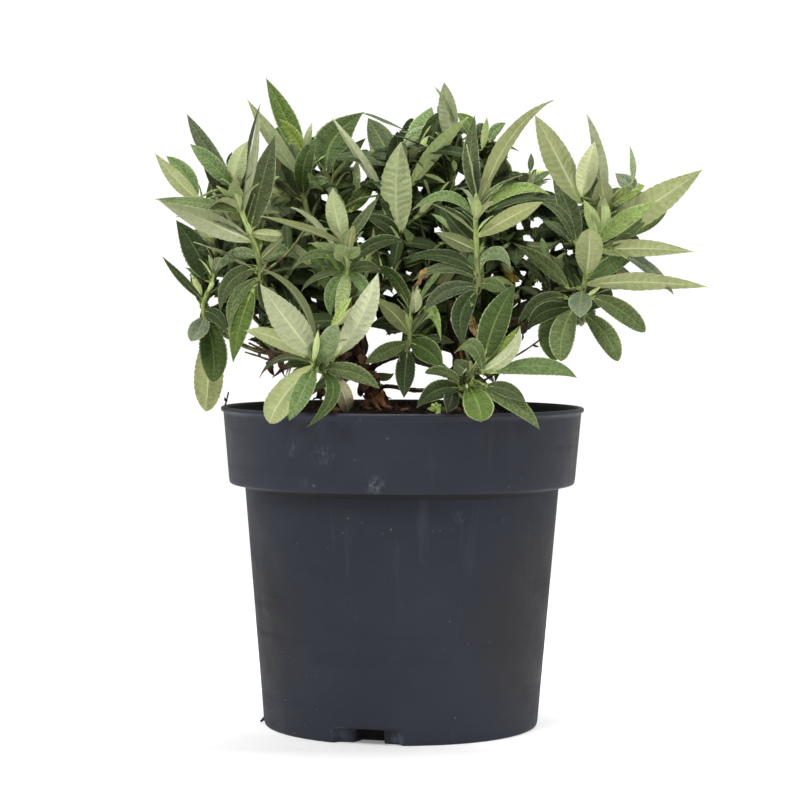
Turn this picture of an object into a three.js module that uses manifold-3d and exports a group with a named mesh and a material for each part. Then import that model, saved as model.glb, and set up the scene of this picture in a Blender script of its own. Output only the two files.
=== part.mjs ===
// A young butterfly bush in a round black nursery pot.
// Millimetres, +Z up. The origin is the centre of the pot's flat underside, so the pot stands on z = 0 and -Y is its front.
import * as THREE from "three";
import { mergeVertices } from "three/addons/utils/BufferGeometryUtils.js";
import Module from "manifold-3d";

// ---- Driving dimensions: pot ----
const POT_HEIGHT = 201.9; // flat underside to rim
const RIM_RADIUS = 115; // outside of the small turned-out lip
const LIP_HEIGHT = 3;
const COLLAR_TOP_RADIUS = 113.4;
const COLLAR_FOOT_RADIUS = 109.4;
const COLLAR_FOOT_Z = 153.2; // where the deep collar steps in to the body
const BODY_TOP_RADIUS = 99.6;
const BODY_FOOT_RADIUS = 86.8;
const WALL = 1.6;
const FLOOR_THICKNESS = 3;
const CORNER = 2; // rounding at the collar's foot and at the pot's foot
const POT_SIDES = 36;

// ---- Driving dimensions: drain notches at the foot ----
const NOTCH_COUNT = 3;
const NOTCH_FIRST_AZIMUTH = -104; // degrees from +X, a little left of the front
const NOTCH_TOP_WIDTH = 41;
const NOTCH_FOOT_WIDTH = 46;
const NOTCH_HEIGHT = 10;
const NOTCH_DEPTH = 8; // behind the outer wall
const NOTCH_HOUSING = 2; // wall round the pocket, on the soil side
const DRAIN_HOLE = { width: 20, height: 5, z: 4.6 };

// ---- Driving dimensions: soil and limbs ----
const GAP = 0.4; // clear air between neighbouring pieces
const SOIL_EDGE_Z = 188; // at the wall, below the rim
const SOIL_TOP_Z = 201.4; // flat top of the mound that the stem stands on
// A stem is a foot [x, y] on the soil, the points it runs through, the last one its fork,
// and its radii over the root flare, at its waist and at its fork
const STEMS = {
  main: {
    foot: [-16, -18],
    run: [[-18.5, -18, 213], [-22.8, -17, 222.5], [-28.5, -16, 232]],
    radii: [9.6, 5.2, 3.7],
  },
  side: {
    foot: [38, -4],
    run: [[37.5, -5, 214], [36.5, -5.5, 228], [35, -6, 241]],
    radii: [7.2, 4.3, 3.6],
  },
};
const STEM_SIDES = 12;
const BOUGH_BASE_RADIUS = 2.4;
const BOUGH_TIP_RADIUS = 1.6;
const BOUGH_SIDES = 6;
const BOUGH_STEPS = 4;

// ---- Driving dimensions: foliage ----
const MASS_DETAIL = 3; // rows on each side of the sphere's triangles
const SPRAY_WIDTH = 15; // degrees: half width of one drawn-out spray
const SPRAY_BODY = 0.36; // how much of a spray's reach its shoulders rise by
const UNEVEN = 0.16; // how far the surface between sprays wanders from its mean

// A shoot is one bough and the mass of foliage round its head.
// from: where the bough leaves its stem: [stem, azimuth, height]; bend: a point it runs through; hub: the head's centre
// core: mean radius [across, upwards]; sprays: [azimuth, elevation, reach] of each leading spray, from the hub
// rows: finer rows on a mass with many sprays
// whorl: opposite pairs that turn 90 degrees at each step up, from the first to the second elevation and reach
const SHOOTS = {
  front_left: {
    from: ["main", -110, 213],
    bend: [-36, -58, 222],
    hub: [-54, -90, 232],
    core: [18, 18],
    sprays: [
      [-162, 55, 56],
      [-21, 52, 68],
      [-173, 22, 44],
      [-127, -40, 55],
      [-97, -40, 58],
      [-28, -18, 49],
      [-58, -36, 50],
    ],
  },
  front_right: {
    from: ["main", -50, 207],
    bend: [10, -56, 214],
    hub: [41, -95, 222],
    core: [18, 17],
    sprays: [
      [37, 60, 66],
      [-28, 46, 45],
      [-9, 1, 63],
      [-37, -30, 57],
      [-83, -33, 44],
      [-110, 24, 35],
      [-152, -22, 40],
    ],
  },
  centre_left: {
    from: ["main", -150, 229],
    bend: [-32, -44, 256],
    hub: [-34, -68, 290],
    core: [20, 24],
    sprays: [
      [137, 76, 49],
      [43, 58, 50],
      [-172, 29, 61],
      [5, 24, 37],
      [-154, -16, 37],
      [-105, -43, 45],
      [-50, -20, 32],
      [-82, 29, 48],
    ],
  },
  centre_right: {
    from: ["side", -110, 237],
    bend: [34, -42, 262],
    hub: [45, -60, 298],
    core: [22, 29],
    sprays: [
      [93, 77, 88],
      [-18, 63, 103],
      [-160, 30, 50],
      [-20, 36, 57],
      [-168, -5, 47],
      [-154, -45, 50],
      [-125, -78, 59],
      [-54, -38, 39],
    ],
  },
  centre_low: {
    from: ["main", -60, 220],
    bend: [-6, -38, 234],
    hub: [4, -50, 248],
    core: [15, 16],
    sprays: [
      [165, 65, 47],
      [-65, 68, 30],
      [-127, 30, 35],
      [-20, -10, 27],
      [-160, -32, 34],
      [-98, -62, 43],
      [-50, -31, 38],
    ],
  },
  upper_left: {
    from: ["main", 180, 226],
    bend: [-62, -26, 254],
    hub: [-97, -40, 300],
    core: [23, 29],
    sprays: [
      [152, 63, 93],
      [-31, 84, 88],
      [55, 67, 78],
      [-154, 25, 66],
      [170, 45, 83],
      [-31, -10, 40],
      [-113, -30, 45],
      [-125, -80, 71],
    ],
  },
  far_left: {
    from: ["main", -165, 218],
    bend: [-92, -32, 238],
    hub: [-118, -28, 284],
    core: [13, 17],
    sprays: [
      [-134, 48, 45],
      [152, 19, 40],
      [-86, -74, 68],
      [-106, -83, 85],
      [-106, -46, 54],
    ],
  },
  right: {
    from: ["side", -20, 229],
    bend: [74, -25, 258],
    hub: [113, -30, 278],
    rows: 4,
    core: [23, 28],
    sprays: [
      [-155, 71, 111],
      [0, 88, 107],
      [144, 68, 78],
      [-20, 44, 103],
      [6, 56, 78],
      [-17, 17, 72],
      [-22, 0, 79],
      [29, 5, 63],
      [-15, -37, 48],
      [-39, -64, 52],
      [-110, -44, 64],
      [-173, -30, 47],
      [145, 26, 59],
    ],
  },
  top_left: {
    from: ["main", 135, 231],
    bend: [-40, -2, 268],
    hub: [-53, 0, 335],
    core: [23, 27],
    sprays: [
      [180, 65, 81],
      [150, 47, 76],
      [-92, 54, 43],
      [26, 76, 47],
      [20, 52, 58],
      [-106, 2, 42],
      [-42, 20, 52],
    ],
  },
  top_centre: {
    from: ["main", 50, 231],
    bend: [-27, -3, 260],
    hub: [-1, 0, 338],
    core: [23, 29],
    sprays: [
      [-91, 39, 45],
      [13, 58, 50],
      [180, 65, 51],
      [-20, 42, 62],
      [0, 69, 76],
      [50, 62, 76],
    ],
  },
  top_right: {
    from: ["side", 60, 239],
    bend: [46, 8, 270],
    hub: [75, 20, 325],
    core: [23, 24],
    sprays: [
      [180, 71, 65],
      [125, 78, 60],
      [-142, 52, 53],
      [-25, 58, 35],
      [42, 43, 46],
      [-41, -34, 37],
    ],
  },
  heart: {
    from: ["side", 150, 238],
    bend: [26, 10, 262],
    hub: [10, 28, 284],
    core: [37, 32],
    whorl: { pairs: 4, first: 10, elev: [-25, 55], reach: [38, 46] },
  },
  left_back: {
    from: ["main", 155, 221],
    bend: [-70, 20, 236],
    hub: [-102, 42, 266],
    core: [22, 24],
    whorl: { pairs: 4, first: 40, elev: [-28, 62], reach: [42, 54] },
  },
  back_left: {
    from: ["main", 130, 225],
    bend: [-58, 34, 250],
    hub: [-84, 72, 308],
    core: [24, 29],
    whorl: { pairs: 5, first: 15, elev: [-30, 72], reach: [56, 78] },
  },
  back_centre: {
    from: ["main", 95, 227],
    bend: [-29, 30, 262],
    hub: [2, 88, 312],
    core: [26, 30],
    whorl: { pairs: 5, first: 50, elev: [-25, 74], reach: [54, 80] },
  },
  back_right: {
    from: ["side", 35, 228],
    bend: [54, 34, 248],
    hub: [96, 66, 296],
    core: [24, 29],
    whorl: { pairs: 5, first: 25, elev: [-30, 72], reach: [54, 82] },
  },
  back_low_left: {
    from: ["main", 110, 211],
    bend: [-36, 62, 222],
    hub: [-56, 100, 242],
    core: [20, 20],
    whorl: { pairs: 4, first: 70, elev: [-34, 55], reach: [44, 56] },
  },
  back_low_right: {
    from: ["side", 95, 213],
    bend: [32, 60, 222],
    hub: [46, 106, 240],
    core: [20, 20],
    whorl: { pairs: 4, first: 20, elev: [-34, 55], reach: [44, 58] },
  },
};

// ---- Helpers ----
const wasm = await Module();
wasm.setup();
const rad = THREE.MathUtils.degToRad;
const lerp = THREE.MathUtils.lerp;
const at = (p) => new THREE.Vector3(...p);

// Direction of an azimuth from +X and an elevation above level, both in degrees
const heading = (azimuth, elevation) =>
  new THREE.Vector3(
    Math.cos(rad(azimuth)) * Math.cos(rad(elevation)),
    Math.sin(rad(azimuth)) * Math.cos(rad(elevation)),
    Math.sin(rad(elevation)),
  );

// A slow, repeatable wander between -1 and 1
const wander = (v, seed) =>
  Math.sin(v.x * 3.1 + seed * 1.7) * 0.45 +
  Math.sin(v.y * 4.3 - seed * 2.9) * 0.3 +
  Math.sin(v.z * 5.7 + seed * 4.1 + v.x * 2.3) * 0.25;

// A closed geometry with its shared vertices merged, as a solid that can be joined and cut
function toSolid(geometry) {
  const g = geometry.clone();
  for (const name of Object.keys(g.attributes))
    if (name !== "position") g.deleteAttribute(name);
  const m = mergeVertices(g, 1e-3);
  return new wasm.Manifold(
    new wasm.Mesh({
      numProp: 3,
      vertProperties: new Float32Array(m.attributes.position.array),
      triVerts: new Uint32Array(m.index.array),
    }),
  );
}

// The largest body of a solid, so that a cut leaves no loose crumbs
function largest(solid) {
  return solid
    .decompose()
    .reduce((a, b) => (b.volume() > a.volume() ? b : a));
}

function toMesh(name, solid, material) {
  const out = solid.getMesh();
  const position = new Float32Array(out.numVert * 3);
  for (let i = 0; i < out.numVert; i++)
    position.set(
      out.vertProperties.subarray(i * out.numProp, i * out.numProp + 3),
      i * 3,
    );
  const g = new THREE.BufferGeometry()
    .setAttribute("position", new THREE.BufferAttribute(position, 3))
    .setIndex(new THREE.BufferAttribute(new Uint32Array(out.triVerts), 1));
  g.computeVertexNormals();
  const mesh = new THREE.Mesh(g, material);
  mesh.name = name;
  return mesh;
}

// A solid of revolution about +Z from [radius, z] pairs that run up the outside and end on the axis
function turned(profile, sides) {
  const g = new THREE.LatheGeometry(
    profile.map(([r, z]) => new THREE.Vector2(r, z)),
    sides,
  );
  return g.rotateX(Math.PI / 2);
}

// ---- Pot ----
// Half the section of a filled pot, drawn in by an inset: the shell is one of these less a smaller one
function potProfile(inset, floor, top) {
  const slope = (BODY_TOP_RADIUS - BODY_FOOT_RADIUS) / COLLAR_FOOT_Z;
  const step = COLLAR_FOOT_Z + inset;
  const foot = BODY_FOOT_RADIUS - inset + slope * floor;
  return [
    [0, floor],
    [foot - CORNER, floor],
    [foot + slope * CORNER, floor + CORNER * 0.8],
    [BODY_TOP_RADIUS - inset, step],
    [COLLAR_FOOT_RADIUS - CORNER - inset, step],
    [COLLAR_FOOT_RADIUS - inset, step + CORNER],
    [COLLAR_TOP_RADIUS - inset, top],
    [0, top],
  ];
}

function outerPot() {
  const profile = potProfile(0, 0, POT_HEIGHT - LIP_HEIGHT);
  profile.splice(
    -1,
    1,
    [RIM_RADIUS, POT_HEIGHT - LIP_HEIGHT + 1],
    [RIM_RADIUS, POT_HEIGHT - 0.8],
    [RIM_RADIUS - 0.8, POT_HEIGHT],
    [0, POT_HEIGHT],
  );
  return toSolid(turned(profile, POT_SIDES));
}

// A block of trapezoid face whose outside lies beyond the foot of the pot, pointing at an azimuth
function footBlock(azimuth, footWidth, topWidth, z0, z1, depth) {
  const shape = new THREE.Shape()
    .moveTo(-footWidth / 2, z0)
    .lineTo(footWidth / 2, z0)
    .lineTo(topWidth / 2, z1)
    .lineTo(-topWidth / 2, z1)
    .closePath();
  const reach = BODY_FOOT_RADIUS + 6;
  const g = new THREE.ExtrudeGeometry(shape, {
    depth: depth + 6,
    bevelEnabled: false,
  });
  g.rotateX(Math.PI / 2); // the face's height becomes +Z and its depth -Y
  g.translate(0, reach, 0);
  return toSolid(g.rotateZ(rad(azimuth - 90)));
}

const notchAzimuths = Array.from(
  { length: NOTCH_COUNT },
  (_, i) => NOTCH_FIRST_AZIMUTH + (360 / NOTCH_COUNT) * i,
);
const notchPockets = (grow) =>
  notchAzimuths.map((a) =>
    footBlock(
      a,
      NOTCH_FOOT_WIDTH + 2 * grow,
      NOTCH_TOP_WIDTH + 2 * grow,
      -1,
      NOTCH_HEIGHT + grow,
      NOTCH_DEPTH + grow,
    ),
  );

function buildPot() {
  const outside = outerPot();
  const inside = toSolid(
    turned(potProfile(WALL, FLOOR_THICKNESS, POT_HEIGHT + 1), POT_SIDES),
  );
  let hollow = inside;
  for (const housing of notchPockets(NOTCH_HOUSING))
    hollow = hollow.subtract(housing);
  let pot = outside.subtract(hollow);
  for (const pocket of notchPockets(0)) pot = pot.subtract(pocket);
  for (const a of notchAzimuths) {
    const { width, height, z } = DRAIN_HOLE;
    pot = pot.subtract(
      footBlock(a, width, width, z, z + height, NOTCH_DEPTH + 5),
    );
  }
  return pot.simplify(0.02);
}

// ---- Soil ----
function buildSoil() {
  const clear = WALL + GAP;
  const profile = potProfile(clear, FLOOR_THICKNESS + GAP, SOIL_EDGE_Z);
  const last = profile.length - 1;
  const rise = (SOIL_EDGE_Z - COLLAR_FOOT_Z) / (POT_HEIGHT - COLLAR_FOOT_Z);
  const rimRadius =
    lerp(COLLAR_FOOT_RADIUS, COLLAR_TOP_RADIUS, rise) - clear - 0.8;
  profile[last - 1] = [rimRadius, SOIL_EDGE_Z];
  profile.splice(
    last,
    1,
    [rimRadius * 0.84, lerp(SOIL_EDGE_Z, SOIL_TOP_Z, 0.27)],
    [rimRadius * 0.6, lerp(SOIL_EDGE_Z, SOIL_TOP_Z, 0.67)],
    [rimRadius * 0.4, lerp(SOIL_EDGE_Z, SOIL_TOP_Z, 0.93)],
    [rimRadius * 0.27, SOIL_TOP_Z],
    [0, SOIL_TOP_Z],
  );
  const g = turned(profile, POT_SIDES);
  // the open slope of the mound is uneven
  const p = g.attributes.position;
  for (let i = 0; i < p.count; i++) {
    const v = new THREE.Vector3().fromBufferAttribute(p, i);
    const r = Math.hypot(v.x, v.y);
    if (v.z > SOIL_EDGE_Z + 1 && r > rimRadius * 0.35)
      p.setZ(i, v.z + 0.6 * wander(v.clone().multiplyScalar(0.04), 2));
  }
  let soil = toSolid(g);
  for (const housing of notchPockets(NOTCH_HOUSING + GAP))
    soil = soil.subtract(housing);
  return soil;
}

// ---- Limbs ----
// A closed tube of round section along a curve, its radius given at each step
function limb(points, radiusAt, sides, steps) {
  const curve = new THREE.CatmullRomCurve3(points, false, "centripetal");
  const frames = curve.computeFrenetFrames(steps, false);
  const position = [];
  const index = [];
  for (let i = 0; i <= steps; i++) {
    const c = curve.getPointAt(i / steps);
    const r = radiusAt(i / steps);
    for (let j = 0; j < sides; j++) {
      const a = (2 * Math.PI * j) / sides;
      const v = c
        .clone()
        .addScaledVector(frames.normals[i], Math.cos(a) * r)
        .addScaledVector(frames.binormals[i], Math.sin(a) * r);
      position.push(v.x, v.y, v.z);
    }
  }
  for (let i = 0; i < steps; i++)
    for (let j = 0; j < sides; j++) {
      const a = i * sides + j,
        b = i * sides + ((j + 1) % sides);
      index.push(a, b, a + sides, b, b + sides, a + sides);
    }
  for (const [ring, out] of [
    [0, false],
    [steps, true],
  ])
    for (let j = 1; j < sides - 1; j++) {
      const a = ring * sides,
        b = a + j,
        c = a + j + 1;
      if (out) index.push(a, b, c);
      else index.push(a, c, b);
    }
  const g = new THREE.BufferGeometry()
    .setAttribute("position", new THREE.Float32BufferAttribute(position, 3))
    .setIndex(index);
  return toSolid(g);
}

// A stem, flared over its roots and cut flat where it meets the soil
function buildStem({ foot: [fx, fy], run, radii: [flare, waist, fork] }, grow) {
  const foot = SOIL_TOP_Z + GAP;
  const points = [
    at([fx, fy, foot - 4]),
    at([fx, fy, foot + 3]),
    ...run.map(at),
  ];
  const radius = (t) =>
    grow +
    (t < 0.5
      ? lerp(flare, waist, Math.sqrt(t / 0.5))
      : lerp(waist, fork, (t - 0.5) / 0.5));
  const whole = limb(points, radius, STEM_SIDES, 8);
  if (grow) return whole;
  const ground = new THREE.BoxGeometry(90, 90, 30).translate(
    fx,
    fy,
    foot - 15,
  );
  return whole.subtract(toSolid(ground));
}

// The point of a stem's axis at a height
function stemAxis({ foot: [fx, fy], run }, z) {
  const points = [[fx, fy, SOIL_TOP_Z], ...run];
  const i = Math.max(
    1,
    points.findIndex((p) => p[2] >= z),
  );
  const [a, b] = [at(points[i - 1]), at(points[i])];
  return a.lerp(b, (z - a.z) / (b.z - a.z));
}

// One bough: it leaves its stem at its own height and azimuth, and bends up to its shoot's hub
function buildBough({ from: [stem, azimuth, z], bend, hub }, grow) {
  const axis = stemAxis(STEMS[stem], z);
  const out = heading(azimuth, 48);
  const start = axis.clone().addScaledVector(out, 2);
  const points = [start, axis.clone().addScaledVector(out, 10), at(bend), at(hub)];
  const radius = (t) => grow + lerp(BOUGH_BASE_RADIUS, BOUGH_TIP_RADIUS, t);
  return limb(points, radius, BOUGH_SIDES, BOUGH_STEPS);
}

// ---- Foliage ----
// The leading sprays of a shoot, those of a whorl worked out pair by pair
function spraysOf({ sprays = [], whorl }) {
  const all = sprays.slice();
  if (whorl)
    for (let k = 0; k < whorl.pairs; k++) {
      const t = k / (whorl.pairs - 1);
      for (const side of [0, 180])
        all.push([
          whorl.first + 90 * k + side + 11 * Math.sin(5 * k + side),
          lerp(...whorl.elev, t) + 6 * Math.sin(3 * k + side),
          lerp(...whorl.reach, Math.min(1, 1.3 * t)) * (side ? 0.94 : 1.04),
        ]);
    }
  return all.map(([a, e, reach]) => ({ dir: heading(a, e), reach }));
}

// Directions spread over a sphere, with the nearest one turned on to each spray and the rest eased apart
function directionsFor(sprays, rows) {
  const g = new THREE.IcosahedronGeometry(1, rows);
  g.deleteAttribute("normal");
  g.deleteAttribute("uv");
  const ball = mergeVertices(g, 1e-4);
  const p = ball.attributes.position;
  const index = Array.from(ball.index.array);
  const dirs = Array.from({ length: p.count }, (_, i) =>
    new THREE.Vector3().fromBufferAttribute(p, i).normalize(),
  );
  const near = dirs.map(() => new Set());
  for (let i = 0; i < index.length; i += 3)
    for (const [a, b] of [
      [0, 1],
      [1, 2],
      [2, 0],
    ]) {
      near[index[i + a]].add(index[i + b]);
      near[index[i + b]].add(index[i + a]);
    }
  const owner = new Map();
  for (const s of sprays.slice().sort((a, b) => b.reach - a.reach)) {
    let best = -1;
    dirs.forEach((d, i) => {
      if (owner.has(i) || [...near[i]].some((n) => owner.has(n))) return;
      if (best < 0 || d.dot(s.dir) > dirs[best].dot(s.dir)) best = i;
    });
    if (dirs[best].dot(s.dir) < Math.cos(rad(15))) continue;
    owner.set(best, s);
    dirs[best].copy(s.dir);
  }
  for (let pass = 0; pass < 12; pass++)
    dirs.forEach((d, i) => {
      if (owner.has(i)) return;
      const mean = new THREE.Vector3();
      for (const n of near[i]) mean.add(dirs[n]);
      d.lerp(mean.normalize(), 0.4).normalize();
    });
  return { dirs, index, owner };
}

// A closed uneven solid round a hub, drawn out into a point along each spray
function buildMass(
  { hub, core, rows = MASS_DETAIL, ...shoot },
  seed,
  grow,
) {
  const sprays = spraysOf(shoot);
  const { dirs, index, owner } = directionsFor(sprays, rows);
  const centre = at(hub);
  const [across, upward] = core;
  const position = [];
  dirs.forEach((d, i) => {
    const mean =
      1 / Math.hypot(Math.hypot(d.x, d.y) / across, d.z / upward);
    let r = mean * (1 + UNEVEN * wander(d, seed));
    for (const s of sprays) {
      const turn = THREE.MathUtils.radToDeg(Math.acos(Math.min(1, d.dot(s.dir))));
      r += SPRAY_BODY * (s.reach - mean) * Math.exp(-((turn / SPRAY_WIDTH) ** 2) / 2);
    }
    if (owner.has(i)) r = owner.get(i).reach;
    const v = centre.clone().addScaledVector(d, r + grow);
    position.push(v.x, v.y, v.z);
  });
  const g = new THREE.BufferGeometry()
    .setAttribute("position", new THREE.Float32BufferAttribute(position, 3))
    .setIndex(index);
  return toSolid(g);
}

// ---- Assembly ----
const finish = (color, roughness) =>
  new THREE.MeshStandardMaterial({ color, roughness, metalness: 0 });
const plant = new THREE.Group();
plant.name = "butterfly_bush";

const pot = buildPot();
plant.add(toMesh("pot", pot, finish(0x2c2e33, 0.55)));
plant.add(toMesh("soil", buildSoil(), finish(0x3a2a1e, 1)));
for (const [name, spec] of Object.entries(STEMS))
  plant.add(toMesh(name + "_stem", buildStem(spec, 0), finish(0x5b4330, 0.9)));

const names = Object.keys(SHOOTS);
const placed = []; // grown copies of the pieces that later pieces are cut round
const cutRound = (solid, others) =>
  others.reduce(
    (s, o) => (s.intersect(o).volume() > 0 ? s.subtract(o) : s),
    solid,
  );

// each bough is cut off round the stems, its elder boughs and its own mass
const potShell = outerPot();
for (const spec of Object.values(STEMS)) placed.push(buildStem(spec, 2 * GAP));
names.forEach((name, i) => {
  const shoot = SHOOTS[name];
  const own = buildMass(shoot, i + 1, 1.2);
  const bough = largest(
    cutRound(buildBough(shoot, 0), [...placed, own]),
  ).simplify(0.12);
  placed.push(buildBough(shoot, 1.6 * GAP));
  plant.add(toMesh("bough_" + name, bough, finish(0x7d7a52, 0.85)));
});

// each mass is cut round the pot, the limbs and its elder masses
const potGrown = potShell; // the filled pot, so that no spray dips inside its rim
const limbsGrown = placed.slice();
const massesGrown = [];
names.forEach((name, i) => {
  const shoot = SHOOTS[name];
  const others = limbsGrown
    .filter((_, k) => k !== i + Object.keys(STEMS).length) // its own bough stops short of it
    .concat(massesGrown);
  const raised = potGrown.translate([0, 0, GAP]);
  const mass = largest(
    cutRound(buildMass(shoot, i + 1, 0), [raised, ...others]),
  ).simplify(0.25);
  massesGrown.push(buildMass(shoot, i + 1, 1.2));
  plant.add(toMesh("foliage_" + name, mass, finish(0x6f8a5e, 0.75)));
});

export default plant;
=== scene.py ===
# The looks of a young butterfly bush in a round black nursery pot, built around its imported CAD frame.
# Metres, +Z up, origin at the centre of the pot's flat underside, -Y to the front.
import math
import zlib

import bpy
import numpy as np
from mathutils import Matrix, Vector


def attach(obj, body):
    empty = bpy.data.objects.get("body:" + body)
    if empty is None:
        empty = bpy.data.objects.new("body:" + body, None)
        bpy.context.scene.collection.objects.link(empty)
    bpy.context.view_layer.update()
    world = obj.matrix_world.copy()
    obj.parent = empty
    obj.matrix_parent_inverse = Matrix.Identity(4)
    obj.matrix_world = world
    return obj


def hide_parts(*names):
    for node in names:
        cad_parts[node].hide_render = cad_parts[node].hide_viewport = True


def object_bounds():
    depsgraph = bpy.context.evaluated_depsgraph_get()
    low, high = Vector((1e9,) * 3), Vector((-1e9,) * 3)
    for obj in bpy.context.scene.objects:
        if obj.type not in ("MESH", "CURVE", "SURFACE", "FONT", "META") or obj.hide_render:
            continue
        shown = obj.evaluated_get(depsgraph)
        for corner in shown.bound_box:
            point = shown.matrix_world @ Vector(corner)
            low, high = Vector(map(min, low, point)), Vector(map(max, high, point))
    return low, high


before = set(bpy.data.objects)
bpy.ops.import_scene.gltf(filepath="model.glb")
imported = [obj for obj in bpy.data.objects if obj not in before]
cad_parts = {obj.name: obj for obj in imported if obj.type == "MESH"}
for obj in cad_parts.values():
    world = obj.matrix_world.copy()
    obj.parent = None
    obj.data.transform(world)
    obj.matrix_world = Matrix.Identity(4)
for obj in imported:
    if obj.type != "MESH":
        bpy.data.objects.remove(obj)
CAD_LO, CAD_HI = [np.array(v, float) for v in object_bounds()]
MM = 0.001
Z = np.array([0.0, 0.0, 1.0])

# ---------------------------------------------------------------- camera
FOCAL_PX = 2539.2  # focal length in pixels of an 800 x 800 frame
CAM_DISTANCE, CAM_HEIGHT = 1.6099, 0.2681
CAM_PITCH, CAM_YAW, CAM_ROLL = (math.radians(a) for a in (2.2145, -0.0485, 0.2593))


def unit(v):
    v = np.asarray(v, float)
    return v / np.maximum(np.linalg.norm(v, axis=-1, keepdims=True), 1e-12)


def camera_axes():
    f = np.array([
        math.sin(CAM_YAW) * math.cos(CAM_PITCH),
        math.cos(CAM_YAW) * math.cos(CAM_PITCH),
        -math.sin(CAM_PITCH),
    ])
    right = unit(np.cross(f, Z))
    up = np.cross(right, f)
    c, s = math.cos(CAM_ROLL), math.sin(CAM_ROLL)
    return np.array([0, -CAM_DISTANCE, CAM_HEIGHT]), f, right * c + up * s, up * c - right * s


EYE, AHEAD, RIGHT, UP = camera_axes()


def seen_at(points):
    """Where points fall in the 800 x 800 frame."""
    d = np.atleast_2d(points) - EYE
    w = d @ AHEAD
    return np.stack([400 + FOCAL_PX * (d @ RIGHT) / w, 400 - FOCAL_PX * (d @ UP) / w], 1)


def on_sight(u, v, y):
    """The point at depth y on the line of sight through a place in the frame."""
    d = AHEAD + RIGHT * (u - 400) / FOCAL_PX - UP * (v - 400) / FOCAL_PX
    return EYE + d * ((y - EYE[1]) / d[1])


def per_px(y):
    return (y + CAM_DISTANCE) / FOCAL_PX


cam_data = bpy.data.cameras.new("camera")
cam_data.sensor_width = 36
cam_data.sensor_fit = "HORIZONTAL"
cam_data.lens = 36 * FOCAL_PX / 800
cam_data.clip_start, cam_data.clip_end = 0.05, 50
camera = bpy.data.objects.new("camera", cam_data)
bpy.context.scene.collection.objects.link(camera)
camera.matrix_world = Matrix([
    [RIGHT[0], UP[0], -AHEAD[0], EYE[0]],
    [RIGHT[1], UP[1], -AHEAD[1], EYE[1]],
    [RIGHT[2], UP[2], -AHEAD[2], EYE[2]],
    [0, 0, 0, 1],
])
bpy.context.scene.camera = camera

# ---------------------------------------------------------------- studio
scene = bpy.context.scene
scene.view_settings.view_transform = "Standard"
scene.view_settings.look = "None"
world = bpy.data.worlds.new("studio")
scene.world = world
world.use_nodes = True


def build_world(seen, front, back):
    """A white tent: the backdrop as seen, and its light, which is weaker from the photographer's side."""
    tree = world.node_tree
    tree.nodes.clear()
    out = tree.nodes.new("ShaderNodeOutputWorld")
    mix = tree.nodes.new("ShaderNodeMixShader")
    path = tree.nodes.new("ShaderNodeLightPath")
    backdrop = tree.nodes.new("ShaderNodeBackground")
    tent = tree.nodes.new("ShaderNodeBackground")
    backdrop.inputs["Strength"].default_value = seen
    backdrop.inputs["Color"].default_value = (1, 1, 1, 1)
    tent.inputs["Color"].default_value = (1, 1, 1, 1)
    coord = tree.nodes.new("ShaderNodeTexCoord")
    axis = tree.nodes.new("ShaderNodeSeparateXYZ")
    tree.links.new(coord.outputs["Generated"], axis.inputs[0])
    ramp = tree.nodes.new("ShaderNodeMapRange")
    ramp.inputs["From Min"].default_value = -0.2
    ramp.inputs["From Max"].default_value = 1.0
    ramp.inputs["To Min"].default_value = front
    ramp.inputs["To Max"].default_value = back
    tree.links.new(axis.outputs["Y"], ramp.inputs["Value"])
    tree.links.new(ramp.outputs["Result"], tent.inputs["Strength"])
    tree.links.new(path.outputs["Is Camera Ray"], mix.inputs["Fac"])
    tree.links.new(tent.outputs[0], mix.inputs[1])
    tree.links.new(backdrop.outputs[0], mix.inputs[2])
    tree.links.new(mix.outputs[0], out.inputs["Surface"])


build_world(1.06, 0.42, 0.66)


def softbox(name, at, towards, size, power):
    data = bpy.data.lights.new(name, "AREA")
    data.shape = "RECTANGLE"
    data.size, data.size_y = size
    data.energy = power
    lamp = bpy.data.objects.new(name, data)
    scene.collection.objects.link(lamp)
    z = unit(np.array(at, float) - np.array(towards, float))
    x = unit(np.cross(Z, z))
    y = np.cross(z, x)
    lamp.matrix_world = Matrix([
        [x[0], y[0], z[0], at[0]],
        [x[1], y[1], z[1], at[1]],
        [x[2], y[2], z[2], at[2]],
        [0, 0, 0, 1],
    ])
    lamp.visible_camera = False
    return lamp


softbox("key", (-1.1, -1.5, 2.2), (0, 0, 0.25), (1.2, 1.2), 50)
softbox("top", (0.4, 0.2, 2.6), (0, 0, 0.25), (1.4, 1.4), 52)
softbox("side", (2.2, -0.9, 1.2), (0, 0, 0.2), (1.0, 1.4), 16)


# ---------------------------------------------------------------- materials
def linear(rgb, gain=1.0):
    c = np.array(rgb, float) / 255
    c = np.where(c <= 0.04045, c / 12.92, ((c + 0.055) / 1.055) ** 2.4) * gain
    return (float(c[0]), float(c[1]), float(c[2]), 1.0)


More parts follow.
